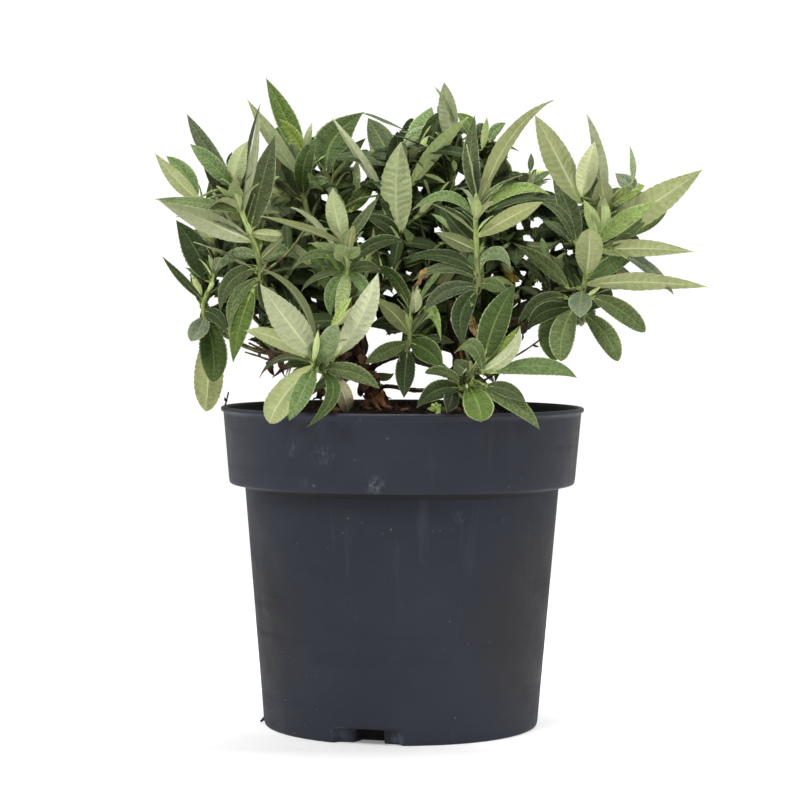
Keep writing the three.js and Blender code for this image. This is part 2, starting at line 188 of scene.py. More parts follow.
class Look:
    """A Principled material and short ways to add nodes to it."""

    def __init__(self, name, colour, rough, **sockets):
        self.mat = bpy.data.materials.new(name)
        self.mat.use_nodes = True
        self.tree = self.mat.node_tree
        self.bsdf = self.tree.nodes["Principled BSDF"]
        self.bsdf.inputs["Base Color"].default_value = colour
        self.bsdf.inputs["Roughness"].default_value = rough
        for k, v in sockets.items():
            self.bsdf.inputs[k.replace("_", " ")].default_value = v
        self.mat.diffuse_color = colour
        self.coord = None

    def node(self, kind, **props):
        n = self.tree.nodes.new(kind)
        for k, v in props.items():
            if k.startswith("in_"):
                n.inputs[k[3:].replace("_", " ")].default_value = v
            else:
                setattr(n, k, v)
        return n

    def link(self, a, b):
        self.tree.links.new(a, b)

    def place(self, stretch=(1, 1, 1)):
        if self.coord is None:
            self.coord = self.node("ShaderNodeTexCoord")
        m = self.node("ShaderNodeMapping")
        m.inputs["Scale"].default_value = stretch
        self.link(self.coord.outputs["Object"], m.inputs["Vector"])
        return m.outputs["Vector"]

    def noise(self, scale, detail=3.0, rough=0.55, stretch=(1, 1, 1)):
        n = self.node("ShaderNodeTexNoise")
        n.inputs["Scale"].default_value = scale
        n.inputs["Detail"].default_value = detail
        n.inputs["Roughness"].default_value = rough
        self.link(self.place(stretch), n.inputs["Vector"])
        return n.outputs["Fac"]

    def cells(self, scale, stretch=(1, 1, 1), feature="F1"):
        n = self.node("ShaderNodeTexVoronoi", feature=feature)
        n.inputs["Scale"].default_value = scale
        self.link(self.place(stretch), n.inputs["Vector"])
        return n.outputs["Distance"]

    def distance(self, point):
        """How far a place is from a point of the frame."""
        n = self.node("ShaderNodeVectorMath", operation="DISTANCE")
        self.link(self.place(), n.inputs[0])
        n.inputs[1].default_value = tuple(float(v) for v in point)
        return n.outputs["Value"]

    def height(self):
        n = self.node("ShaderNodeSeparateXYZ")
        self.link(self.place(), n.inputs[0])
        return n.outputs["Z"]

    def ramp(self, fac, stops):
        n = self.node("ShaderNodeValToRGB")
        r = n.color_ramp
        while len(r.elements) < len(stops):
            r.elements.new(0.5)
        for e, (pos, col) in zip(r.elements, stops):
            e.position = pos
            e.color = col
        self.link(fac, n.inputs["Fac"])
        return n.outputs["Color"]

    def span(self, fac, lo, hi, a=0.0, b=1.0):
        n = self.node("ShaderNodeMapRange")
        n.inputs["From Min"].default_value = lo
        n.inputs["From Max"].default_value = hi
        n.inputs["To Min"].default_value = a
        n.inputs["To Max"].default_value = b
        self.link(fac, n.inputs["Value"])
        return n.outputs["Result"]

    def mix(self, fac, a, b, how="MIX"):
        n = self.node("ShaderNodeMix", data_type="RGBA", blend_type=how)
        if hasattr(fac, "is_linked") or hasattr(fac, "links"):
            self.link(fac, n.inputs[0])
        else:
            n.inputs[0].default_value = fac
        for value, socket in ((a, n.inputs[6]), (b, n.inputs[7])):
            if isinstance(value, tuple):
                socket.default_value = value
            else:
                self.link(value, socket)
        return n.outputs[2]

    def maths(self, how, a, b):
        n = self.node("ShaderNodeMath", operation=how)
        for value, socket in ((a, n.inputs[0]), (b, n.inputs[1])):
            if isinstance(value, (int, float)):
                socket.default_value = value
            else:
                self.link(value, socket)
        return n.outputs[0]

    def bump(self, height, strength, distance, under=None):
        n = self.node("ShaderNodeBump")
        n.inputs["Strength"].default_value = strength
        n.inputs["Distance"].default_value = distance
        self.link(height, n.inputs["Height"])
        if under is not None:
            self.link(under, n.inputs["Normal"])
        return n.outputs["Normal"]

    def normal(self, n):
        self.link(n, self.bsdf.inputs["Normal"])
        return self

    def colour(self, c):
        self.link(c, self.bsdf.inputs["Base Color"])
        return self


LEAF_GAIN = 1.05
# upper sides: colour of the blade in open light, but for the dark tones dp, dd, in, sh and bk, which are painted shade
# for leaves that stand in shade
UPPER = {
    "dk": (60, 75, 42), "dp": (47, 61, 27), "rc": (82, 103, 42), "bg": (108, 131, 80), "bd": (76, 89, 54),
    "br": (136, 160, 90), "yg": (162, 186, 100), "ol": (64, 83, 36), "md": (95, 111, 66),
    "gg": (121, 138, 97), "dg": (82, 94, 66), "yo": (128, 158, 84), "in": (48, 62, 31), "sh": (66, 81, 46),
    "pl": (160, 178, 120), "fr": (138, 157, 110), "gy": (114, 127, 101), "lt": (206, 232, 152), "dd": (38, 54, 13), "li": (140, 166, 72), "ly": (112, 132, 54), "bk": (28, 37, 15),
}
# undersides, felted
LOWER = {
    "pa": (170, 180, 126), "vp": (230, 238, 184), "py": (184, 200, 130), "po": (160, 168, 112),
    "go": (140, 148, 98), "be": (156, 150, 118), "gr": (138, 148, 114), "pg": (182, 192, 150),
    "lw": (198, 220, 146), "ug": (116, 127, 84), "us": (92, 104, 64), "pm": (190, 205, 150), "pv": (212, 222, 180),
}
DRY = {"br1": (92, 68, 48), "br2": (64, 48, 36), "st": (150, 128, 84), "ye": (120, 104, 34)}
_leaf_looks = {}


def leaf_look(kind, tone):
    """One plain base colour of a blade, its midrib or its foot, with the fine relief of its surface.
    kind: u or l for the upper or lower side, then 0, 1 or 2 for the blade's shades, r for the rib, f for the foot,
    m for the felted margin, paled further as a painted highlight along the edge."""
    key = kind + "_" + tone
    if key in _leaf_looks:
        return _leaf_looks[key]
    over = kind[0] == "u"
    part = kind[1]
    if tone in DRY:
        rgb = np.array(DRY[tone], float)
    else:
        rgb = np.array((UPPER if over else LOWER)[tone], float)
    rgb = rgb * (1.015, 1.0, 1.0)
    if part == "0":
        rgb = rgb * ((0.89, 0.905, 0.87) if over else (0.96, 0.962, 0.945))
    elif part == "2":
        rgb = rgb * ((1.09, 1.08, 1.08) if over else (1.035, 1.03, 1.04))
    elif tone in DRY:
        rgb = rgb * 1.15
    elif part == "r":
        rgb = rgb * 0.72 + np.array((176, 196, 122)) * 0.28 if over else rgb * 0.45 + np.array((226, 234, 180)) * 0.55
    # the margin is pale felt, paled further as a painted highlight along the leaf's edge
    elif part == "m":
        rgb = rgb * 0.55 + np.array((204, 216, 168)) * 0.45
    elif part == "f":
        rgb = rgb * 0.30 + np.array((182, 204, 114)) * 0.70
    if over:
        look = Look("leaf_" + key, linear(rgb, LEAF_GAIN), 0.62, Specular_IOR_Level=0.20)
        fine = look.cells(760)
        soft = look.noise(620, 3, 0.6)
        h = look.maths("ADD", look.maths("MULTIPLY", fine, 0.6), soft)
        look.normal(look.bump(h, 0.9, 0.0011))
    else:
        look = Look("leaf_" + key, linear(rgb, LEAF_GAIN), 0.95, Specular_IOR_Level=0.10, Sheen_Weight=0.12,
                    Sheen_Roughness=0.6)
        look.normal(look.bump(look.noise(1100, 3, 0.6), 0.8, 0.0006))
    _leaf_looks[key] = look.mat
    return look.mat


def stem_look(name, dark, light, patch, rough=0.8, scale=260.0):
    look = Look(name, linear(light, LEAF_GAIN), rough, Specular_IOR_Level=0.25)
    grain = look.noise(scale, 5, 0.62, (1, 1, 0.28))
    spots = look.noise(90, 3, 0.6, (1, 1, 0.5))
    c = look.ramp(grain, [(0.32, linear(dark, LEAF_GAIN)), (0.62, linear(light, LEAF_GAIN))])
    c = look.mix(look.span(spots, 0.55, 0.7, 0, 0.6), c, linear(patch, LEAF_GAIN))
    look.colour(c)
    look.normal(look.bump(grain, 0.7, 0.0008))
    return look.mat


# stem colours from old wood to young shoot; the oldest wood is darker than its own brown, as painted shade
STEM_AGES = [
    stem_look("stem_wood", (26, 19, 16), (54, 41, 32), (66, 46, 33), 0.9, 200.0),
    stem_look("stem_brown", (48, 38, 26), (88, 72, 48), (80, 56, 38), 0.85),
    stem_look("stem_grey_green", (90, 98, 56), (136, 146, 90), (108, 112, 68), 0.8),
    stem_look("stem_green", (116, 134, 72), (164, 184, 110), (128, 134, 80), 0.75),
    stem_look("stem_young", (160, 184, 96), (200, 218, 138), (180, 196, 116), 0.72),
]

bark = Look("bark", linear((96, 68, 48)), 0.92, Specular_IOR_Level=0.2)
_g = bark.noise(150, 6, 0.68, (1, 1, 0.22))
_p = bark.noise(48, 4, 0.6, (1, 1, 0.5))
_c = bark.ramp(_g, [(0.30, linear((38, 26, 20))), (0.52, linear((88, 62, 44))), (0.72, linear((140, 102, 70)))])
_c = bark.mix(bark.span(_p, 0.52, 0.66, 0, 0.75), _c, linear((118, 72, 46)))
bark.colour(_c).normal(bark.bump(_g, 1.0, 0.0016))
BARK = bark.mat

peel = Look("bark_peel", linear((140, 96, 62)), 0.85, Specular_IOR_Level=0.3)
_g = peel.noise(300, 5, 0.6, (1, 1, 0.2))
peel.colour(peel.ramp(_g, [(0.3, linear((92, 58, 38))), (0.7, linear((176, 128, 86)))]))
peel.normal(peel.bump(_g, 0.6, 0.0006))
PEEL = peel.mat

soil_look = Look("soil", linear((58, 42, 30)), 0.95, Specular_IOR_Level=0.15)
_g = soil_look.noise(240, 8, 0.72)
_p = soil_look.noise(60, 4, 0.6)
_c = soil_look.ramp(_g, [(0.30, linear((20, 15, 12))), (0.50, linear((48, 36, 27))), (0.70, linear((82, 64, 48)))])
_c = soil_look.mix(soil_look.span(_p, 0.5, 0.7, 0, 0.5), _c, linear((38, 27, 20)))
soil_look.colour(_c)
_b = soil_look.bump(_g, 0.9, 0.004)
soil_look.normal(soil_look.bump(soil_look.noise(900, 4, 0.7), 0.7, 0.001, _b))
SOIL = soil_look.mat


def crumb_look(name, dark, light, rough=0.95):
    look = Look(name, linear(light), rough, Specular_IOR_Level=0.2)
    g = look.noise(420, 6, 0.7, (1, 1, 0.6))
    look.colour(look.ramp(g, [(0.3, linear(dark)), (0.7, linear(light))]))
    look.normal(look.bump(g, 0.8, 0.0012))
    return look.mat


CRUMBS = [
    crumb_look("crumb_dark", (20, 15, 12), (48, 37, 28)),
    crumb_look("crumb_brown", (36, 26, 19), (78, 60, 43)),
    crumb_look("crumb_chip", (80, 58, 40), (132, 102, 72)),
]


def pot_face(u, v):
    """The place on the front of the pot that a place in the frame shows."""
    ways = np.array([on_sight(u, v, y) for y in np.linspace(-0.125, -0.06, 1301)])
    wall = np.interp(ways[:, 2], (0, 0.1530, 0.1534, 0.2019), (0.0868, 0.0996, 0.1094, 0.1134))
    return ways[int(np.argmin(np.abs(np.hypot(ways[:, 0], ways[:, 1]) - wall)))]


def pot_looks():
    """Injection-moulded black plastic: faint mottling, rubbed patches, dust in specks and drifts, fine scratches, with
    painted shade at the sides, under hanging leaves, under the collar and in the drain holes, and painted light on the
    collar's right and on the lugs.
    """
    look = Look("pot_plastic", linear((34, 38, 48)), 0.50, Specular_IOR_Level=0.22)
    broad = look.noise(9, 3, 0.55)
    cloud = look.noise(38, 5, 0.6)
    c = look.ramp(broad, [(0.35, linear((36, 39, 48))), (0.65, linear((43, 46, 56)))])
    c = look.mix(look.span(cloud, 0.52, 0.74, 0, 0.22), c, linear((58, 60, 66)))
    # dust specks, rare and small
    speck = look.cells(150)
    gate = look.noise(30, 2, 0.5)
    dots = look.maths("MULTIPLY", look.span(speck, 0.12, 0.05, 0, 1), look.span(gate, 0.56, 0.62, 0, 1))
    c = look.mix(look.maths("MULTIPLY", dots, 0.30), c, linear((140, 138, 130)))
    # painted light and shade: warm grey shade towards both sides of the body, a paler patch high on the collar's right,
    # and painted shade where leaves hang over the collar
    for at, far, near, amount, grey in (((0.100, -0.035, 0.070), 0.080, 0.045, 0.8, (42, 40, 41)),
                                        ((-0.100, -0.030, 0.070), 0.060, 0.030, 0.8, (36, 35, 37)),
                                        ((0.112, -0.020, 0.180), 0.036, 0.016, 0.6, (49, 45, 45))):
        c = look.mix(look.span(look.distance(at), far, near, 0, amount), c, linear(grey))
    # painted shade: dark patches under the leaves that hang over the collar
    for u, v, size in ((346, 433, 0.0085), (303, 428, 0.0065), (521, 426, 0.0090)):
        c = look.mix(look.span(look.distance(pot_face(u, v)), size, size * 0.3, 0, 0.42), c, linear((20, 24, 26)))
    # fine upright and level rub marks
    scratch = look.noise(70, 4, 0.62, (1, 1, 0.06))
    rub = look.noise(60, 4, 0.62, (0.12, 0.12, 1.6))
    c = look.mix(look.span(scratch, 0.60, 0.72, 0, 0.12), c, linear((92, 94, 100)))
    # a scuffed place low on the collar and two knocks above it, then painted highlights on the lugs low down beside the
    # notch, broken up like rub marks
    for u, v, size, amount in ((375, 485, 0.0075, 0.34), (374, 486, 0.0032, 0.5), (388, 438, 0.0015, 0.85), (383, 439, 0.0011, 0.6),
                               (398, 438, 0.0010, 0.45), (323, 457, 0.0095, 0.16), (292, 450, 0.0060, 0.14), (314, 485, 0.0022, 0.40),
                               (304, 483, 0.0050, 0.14), (459, 517, 0.0050, 0.3),
                               # these last two are painted highlights on the lugs
                               (339, 734, 0.0060, 0.45), (391, 742, 0.0060, 0.45)):
        hit = pot_face(u, v)
        ring = look.span(look.distance(hit), size, size * 0.25, 0, 1)
        marks = look.span(look.noise(420, 4, 0.7, (1, 1, 0.6)), 0.46, 0.66, 0, 1)
        c = look.mix(look.maths("MULTIPLY", look.maths("MULTIPLY", ring, marks), amount), c, linear((128, 130, 138)))
    # painted light: the lugs beside the notch made paler, where they catch the light
    for u, v in ((343, 737), (394, 742)):
        c = look.mix(look.span(look.distance(pot_face(u, v)), 0.0068, 0.0046, 0, 0.5), c, linear((76, 84, 96)))
    # painted shade in the corner under the collar; then dust in a drift low down beside the notch
    z = look.height()
    line = look.maths("MULTIPLY", look.span(z, 0.1492, 0.1508, 0, 1), look.span(z, 0.1542, 0.1533, 0, 0.85))
    c = look.mix(line, c, linear((14, 14, 16)))
    low = look.span(look.distance(pot_face(282, 722)), 0.048, 0.020, 0, 1)
    grit = look.span(look.cells(330), 0.17, 0.09, 0, 1)
    patch = look.span(look.noise(90, 3, 0.6, (1, 1, 2.5)), 0.50, 0.60, 0, 1)
    grit = look.maths("MULTIPLY", look.maths("MULTIPLY", grit, low), patch)
    c = look.mix(look.maths("MULTIPLY", grit, 0.6), c, linear((150, 146, 140)))
    look.colour(c)
    r = look.span(cloud, 0.35, 0.7, 0.46, 0.62)
    r = look.maths("ADD", r, look.span(rub, 0.55, 0.72, 0, 0.12))
    r = look.maths("ADD", r, look.span(z, 0.1500, 0.1520, 0.12, -0.06))
    look.link(r, look.bsdf.inputs["Roughness"])
    fine = look.noise(1400, 2, 0.5)
    b = look.bump(fine, 0.18, 0.0002)
    look.normal(look.bump(look.noise(22, 3, 0.5, (1, 1, 0.35)), 0.22, 0.0016, b))
    inside = Look("pot_inside", linear((26, 26, 28)), 0.6)
    g = inside.noise(120, 4, 0.6)
    inside.colour(inside.ramp(g, [(0.3, linear((20, 20, 22))), (0.7, linear((44, 42, 40)))]))
    inside.normal(inside.bump(g, 0.4, 0.0008))
    # painted shade: near-black for the faces deep in the drain holes
    hole = Look("pot_drain", linear((8, 7, 7)), 0.95)
    g = hole.noise(300, 4, 0.6)
    hole.colour(hole.ramp(g, [(0.3, linear((4, 4, 4))), (0.7, linear((20, 16, 13)))]))
    return look.mat, inside.mat, hole.mat


POT, POT_INSIDE, POT_DRAIN_SHADE = pot_looks()


# ---------------------------------------------------------------- meshes
class Piece:
    """Geometry gathered into one mesh object."""

    def __init__(self, name):
        self.name = name
        self.verts, self.faces, self.mats, self.border = [], [], [], []
        self.count = 0
        self.looks, self.index = [], {}

    def look(self, mat):
        if mat.name not in self.index:
            self.index[mat.name] = len(self.looks)
            self.looks.append(mat)
        return self.index[mat.name]

    def add(self, verts, faces, mats, border=None):
        """faces: a list of index lists or an array; mats: one look, or an array of look numbers."""
        verts = np.asarray(verts, float).reshape(-1, 3)
        self.verts.append(verts)
        for block in faces if isinstance(faces, (list, tuple)) else [faces]:
            self.faces.append(np.asarray(block, int) + self.count)
        n = sum(len(b) for b in (faces if isinstance(faces, (list, tuple)) else [faces]))
        self.mats.append(np.full(n, self.look(mats)) if not isinstance(mats, np.ndarray) else mats)
        self.border.append(np.zeros(len(verts), bool) if border is None else border)
        self.count += len(verts)

    def make(self, smooth=True):
        verts = np.concatenate(self.verts)
        faces = [f for block in self.faces for f in block.tolist()]
        mesh = bpy.data.meshes.new(self.name)
        mesh.from_pydata(verts.tolist(), [], faces)
        for m in self.looks:
            mesh.materials.append(m)
        mesh.polygons.foreach_set("material_index", np.concatenate(self.mats).astype(np.int32))
        mesh.polygons.foreach_set("use_smooth", np.full(len(faces), bool(smooth)))
        border = np.concatenate(self.border)
        if border.any():
            ends = np.zeros(len(mesh.edges) * 2, np.int32)
            mesh.edges.foreach_get("vertices", ends)
            ends = ends.reshape(-1, 2)
            mesh.edges.foreach_set("use_edge_sharp", border[ends[:, 0]] & border[ends[:, 1]])
        mesh.update()
        obj = bpy.data.objects.new(self.name, mesh)
        scene.collection.objects.link(obj)
        return obj


def rng_for(name):
    return np.random.default_rng(zlib.crc32(name.encode()))


def wander(p, seed, scale):
    """Smooth repeatable noise between about -1 and 1."""
    p = np.asarray(p) * scale
    r = np.random.default_rng(seed)
    out = 0
    for k in range(6):
        d = unit(r.normal(size=3)) * (0.7 + 0.5 * k)
        out = out + np.sin(p @ d + r.uniform(0, 6.28)) / (1 + 0.45 * k)
    return out / 2.4


# ---------------------------------------------------------------- leaves
class Template:
    """The rows and columns of a blade. Rows run from the midrib out along the side veins."""

    def __init__(self, veins, per, s):
        t, relief = [], []
        for k in range(veins):
            for q, high in {3: ((0, 0), (0.3, 0.7), (0.65, 1)), 2: ((0, 0), (0.5, 1)), 1: ((0, 0),)}[per]:
                t.append((k + q) / veins)
                relief.append(high)
        t.append(1.0)
        relief.append(0)
        self.t, self.s = np.array(t), np.array(s, float)
        self.relief = np.array(relief, float)
        self.fine = per == 3
        R, C = len(t) - 1, len(s)
        self.R, self.C = R, C
        top = np.arange((R + 1) * C).reshape(R + 1, C)
        low = top.copy()
        low[:, 1:-1] = (R + 1) * C + np.arange((R + 1) * (C - 2)).reshape(R + 1, C - 2)
        faces, under, rib, row, rim, dip = [], [], [], [], [], []
        for i in range(R):
            for j in range(C - 1):
                a, b, c, d = top[i, j], top[i, j + 1], top[i + 1, j + 1], top[i + 1, j]
                e, f, g, h = low[i, j], low[i, j + 1], low[i + 1, j + 1], low[i + 1, j]
                if self.s[j] < 0:
                    faces += [[a, b, c], [a, c, d], [g, f, e], [h, g, e]]
                else:
                    faces += [[a, b, d], [b, c, d], [h, f, e], [h, g, f]]
                under += [False, False, True, True]
                rib += [abs(self.s[j] + self.s[j + 1]) < 1e-6] * 4
                row += [(self.t[i] + self.t[i + 1]) / 2] * 4
                rim += [min(abs(self.s[j]), abs(self.s[j + 1])) > 0.88] * 4
                dip += [i % per] * 2
        tris = []
        for i, flip in ((0, False), (R, True)):
            for j in range(C - 1):
                ring = [top[i, j + 1], top[i, j], low[i, j], low[i, j + 1]]
                ring = [v for k, v in enumerate(ring) if v not in ring[:k]]
                if flip:
                    ring = ring[::-1]
                for k in range(1, len(ring) - 1):
                    tris.append([ring[0], ring[k], ring[k + 1]])
        self.faces = np.concatenate([np.array(faces), np.array(tris)])
        self.ends = len(tris)
        self.under, self.rib, self.row, self.rim = np.array(under), np.array(rib), np.array(row), np.array(rim)
        # how the dark, middle and light shades share the faces of each row between two veins; the rows in the dips get
        # more dark faces, as painted shade
        share = {3: [(0.30, 0.45), (0.10, 0.50), (0.50, 0.40)], 2: [(0.20, 0.45), (0.42, 0.42)], 1: [(0.3, 0.45)]}[per]
        self.share = np.array(share)[np.array(dip)]
        flags = np.zeros((R + 1) * C + (R + 1) * (C - 2), bool)
        flags[top[:, 0]] = flags[top[:, -1]] = True
        self.border = flags
        self.outline = np.concatenate([top[:, 0], top[::-1, -1]])
        # the two columns at the midrib draw in from foot to tip
        cols = np.repeat(self.s[None, :], R + 1, 0)
        ribs = (np.abs(cols) < 0.2) & (np.abs(cols) > 0)
        self.cols = np.where(ribs, cols * (0.18 + 0.98 * (1 - self.t[:, None]) ** 0.8), cols)


LEADING = Template(14, 3, [-1, -0.92, -0.66, -0.37, -0.09, 0.09, 0.37, 0.66, 0.92, 1])
MIDDLE = Template(8, 2, [-1, -0.56, -0.10, 0.10, 0.56, 1])
SMALL = Template(6, 1, [-1, -0.12, 0.12, 1])

COVER = np.zeros((800, 800), bool)  # what the leaves cover in the frame so far


def cover(outline):
    """Marks a leaf's outline in the frame as covered."""
    mark(COVER, seen_at(outline))


def mark(mask, px):
    """Fills a polygon of the frame in a mask."""
    lo = np.clip(np.floor(px.min(0)).astype(int), 0, 799)
    hi = np.clip(np.ceil(px.max(0)).astype(int), 0, 799)
    x, y = np.meshgrid(np.arange(lo[0], hi[0] + 1) + 0.5, np.arange(lo[1], hi[1] + 1) + 0.5)
    inside = np.zeros(x.shape, bool)
    a, b = px, np.roll(px, -1, axis=0)
    for (ax, ay), (bx, by) in zip(a, b):
        if ay == by:
            continue
        crosses = (ay > y) != (by > y)
        inside ^= crosses & (x < (bx - ax) * (y - ay) / (by - ay) + ax)
    mask[lo[1]:hi[1] + 1, lo[0]:hi[0] + 1] |= inside


def add_leaf(piece, tpl, p0, p1, p2, width, side, tones, rng, fold=0.25, recurve=0.16, wave=0.05, twist=0.0,
             roll=0.0, blunt=False, curl=0.0, foot_width=0.11):
    """A blade along the arc p0, p1 (its middle), p2. side points to the blade's right with its upper face up."""
    p0, p1, p2 = (np.asarray(p, float) for p in (p0, p1, p2))
    ctrl = 2 * p1 - (p0 + p2) / 2
    t, s = tpl.t[:, None], tpl.cols
    sa = np.abs(s)
    hump = np.minimum(1, t / 0.14) * (1 - t) ** 0.7
    a = np.clip(t + 0.085 * sa ** 1.2 * hump, 0, 1)
    a3 = a[..., None]
    mid = (1 - a3) ** 2 * p0 + 2 * a3 * (1 - a3) * ctrl + a3 ** 2 * p2
    tan = unit(2 * (1 - a3) * (ctrl - p0) + 2 * a3 * (p2 - ctrl) + 1e-9)
    S = unit(side - (tan @ side)[..., None] * tan)
    N = np.cross(S, tan)
    ang = (roll + twist * (a - 0.35))[..., None]
    S, N = S * np.cos(ang) + N * np.sin(ang), N * np.cos(ang) - S * np.sin(ang)
    al, be = (0.75, 0.60) if blunt else (0.86 + rng.uniform(-0.06, 0.08), 1.04 + rng.uniform(-0.08, 0.14))
    a0 = al / (al + be)
    f = (np.maximum(a, 1e-6) / a0) ** al * (np.maximum(1 - a, 0) / (1 - a0)) ** be
    f = np.maximum(f, foot_width * np.clip(1 - a / 0.3, 0, 1))
    f = np.maximum(f, 0.012)
    hw = width / 2 * f
    rel = tpl.relief[:, None]
    edge = sa > 0.999
    teeth = 0.026 * (2 * rel - 1) + 0.014 * rng.uniform(-1, 1, (len(tpl.t), 1))
    x = s * hw * np.where(edge, 1 + teeth * (f > 0.2), 1.0)
    dip = np.clip(sa, 0, 1)
    lift = np.tan(fold * (1 - 0.35 * a)) * sa - recurve * sa ** 3
    lift = lift + wave * sa ** 2 * np.sin(2 * np.pi * (2.2 * a) + rng.uniform(0, 6.28) + (s > 0) * rng.uniform(1, 5))
    lift = lift + curl * sa ** 2 * a ** 2
    bulge = 0.026 * width * rel * np.clip(np.sin(np.pi * np.clip((sa - 0.08) / 0.9, 0, 1)), 0, 1) ** 0.7 * np.minimum(1, f * 1.6)
    crinkle = 0.010 * width * rng.normal(0, 1, x.shape) * (sa > 0.2) * (sa < 0.99) * np.minimum(1, f)
    groove = np.where(sa < 0.2, -0.010 * width, 0) * np.minimum(1, f * 2)
    h = lift * hw + bulge + groove + crinkle
    top = mid + S * x[..., None] + N * h[..., None]
    thick = (0.00030 + 0.006 * width) * (1 - dip ** 5)
    rib = np.where(sa < 0.2, 0.045 * width, 0) * (1.1 - 0.8 * a)
    vein = (1 - rel) * 0.010 * width * (sa < 0.95)
    low = top - N * (thick + rib + vein * np.minimum(1, f))[..., None]
    verts = np.concatenate([top.reshape(-1, 3), low[:, 1:-1].reshape(-1, 3)])
    up, dn = tones
    number = np.array([piece.look(leaf_look(k, tone)) for k, tone in (
        ("u0", up), ("u1", up), ("u2", up), ("ur", up), ("l0", dn), ("l1", dn), ("l2", dn), ("lr", dn), ("uf", up), ("lf", dn), ("um", up))])
    # the blade's three shades fall at random face by face, a mottling of its own colour, and the dips between the veins
    # get more dark faces, as painted shade
    r = rng.random(len(tpl.share))
    pick = np.repeat((r > tpl.share[:, 0]).astype(int) + (r > tpl.share.sum(1)), 2)
    region = np.where(tpl.under, 4, 0) + pick
    region = np.where(tpl.rim & ~tpl.under, 10, region)
    region = np.where(tpl.rib, np.where(tpl.under, 7, 3), region)
    foot = (tpl.row < 0.05) | (tpl.rib & (tpl.row < 0.17))
    region = np.where(foot, np.where(tpl.under, 9, 8), region)
    mats = np.concatenate([number[region], np.full(tpl.ends, number[8])])
    piece.add(verts, tpl.faces, mats, tpl.border)
    cover(verts[tpl.outline])


# ---------------------------------------------------------------- limbs
def spline(points, step=0.002):
    """A centripetal Catmull-Rom curve through the points, evenly resampled."""
    p = np.array(points, float)
    p = np.concatenate([[2 * p[0] - p[1]], p, [2 * p[-1] - p[-2]]])
    out = []
    for i in range(1, len(p) - 2):
        a, b, c, d = p[i - 1:i + 3]
        t0 = 0
        t1 = t0 + max(np.linalg.norm(b - a), 1e-6) ** 0.5
        t2 = t1 + max(np.linalg.norm(c - b), 1e-6) ** 0.5
        t3 = t2 + max(np.linalg.norm(d - c), 1e-6) ** 0.5
        t = np.linspace(t1, t2, 14, endpoint=False)[:, None]
        A = (t1 - t) / (t1 - t0) * a + (t - t0) / (t1 - t0) * b
        B = (t2 - t) / (t2 - t1) * b + (t - t1) / (t2 - t1) * c
        C = (t3 - t) / (t3 - t2) * c + (t - t2) / (t3 - t2) * d
        D = (t2 - t) / (t2 - t0) * A + (t - t0) / (t2 - t0) * B
        E = (t3 - t) / (t3 - t1) * B + (t - t1) / (t3 - t1) * C
        out.append((t2 - t) / (t2 - t1) * D + (t - t1) / (t2 - t1) * E)
    out = np.concatenate(out + [p[-2:-1]])
    s = np.concatenate([[0], np.cumsum(np.linalg.norm(np.diff(out, axis=0), axis=1))])
    n = max(3, int(round(s[-1] / step)) + 1)
    at = np.linspace(0, s[-1], n)
    return np.stack([np.interp(at, s, out[:, k]) for k in range(3)], 1)


def length_along(path):
    return np.concatenate([[0], np.cumsum(np.linalg.norm(np.diff(path, axis=0), axis=1))])


def tangents(path):
    return unit(np.gradient(path, axis=0))


def add_tube(piece, path, radii, mats, sides=10, relief=None):
    """A closed tube of varying radius. mats: one look, or a look for each side of each step along it."""
    path = np.asarray(path, float)
    n = len(path)
    T = tangents(path)
    N = np.zeros_like(T)
    ref = np.array([1.0, 0, 0]) if abs(T[0][0]) < 0.8 else np.array([0, 1.0, 0])
    N[0] = unit(ref - (ref @ T[0]) * T[0])
    for i in range(1, n):
        N[i] = unit(N[i - 1] - (N[i - 1] @ T[i]) * T[i])
    B = np.cross(T, N)
    ang = 2 * np.pi * np.arange(sides) / sides
    r = np.asarray(radii, float)[:, None] * np.ones(sides)
    if relief is not None:
        r = r + relief(np.arange(n)[:, None], ang[None, :], path)
    v = path[:, None] + r[..., None] * (np.cos(ang)[None, :, None] * N[:, None] + np.sin(ang)[None, :, None] * B[:, None])
    verts = np.concatenate([v.reshape(-1, 3), path[:1], path[-1:]])
    idx = np.arange(n * sides).reshape(n, sides)
    nxt = np.roll(idx, -1, axis=1)
    quads = np.stack([idx[:-1], nxt[:-1], nxt[1:], idx[1:]], -1).reshape(-1, 4)
    foot = np.stack([nxt[0], idx[0], np.full(sides, n * sides)], -1)
    head = np.stack([idx[-1], nxt[-1], np.full(sides, n * sides + 1)], -1)
    if isinstance(mats, list):
        per = np.array([[piece.look(m) for m in row] for row in mats])
        m = np.concatenate([per[:n - 1].ravel(), per[0], per[-1]])
    else:
        m = np.full(len(quads) + 2 * sides, piece.look(mats))
    piece.add(verts, [quads, np.concatenate([foot, head])], m)


# ---------------------------------------------------------------- the frame's limbs, as part of the plant
SOIL_Z = 201.4
# a stem's foot, the points it runs through, and its radii over the roots, at its waist and at its fork, in mm
STEMS = {
    "main": ((-16, -18), ((-18.5, -18, 213), (-22.8, -17, 222.5), (-28.5, -16, 232)), (9.6, 5.2, 3.7)),
    "side": ((38, -4), ((37.5, -5, 214), (36.5, -5.5, 228), (35, -6, 241)), (7.2, 4.3, 3.6)),
}
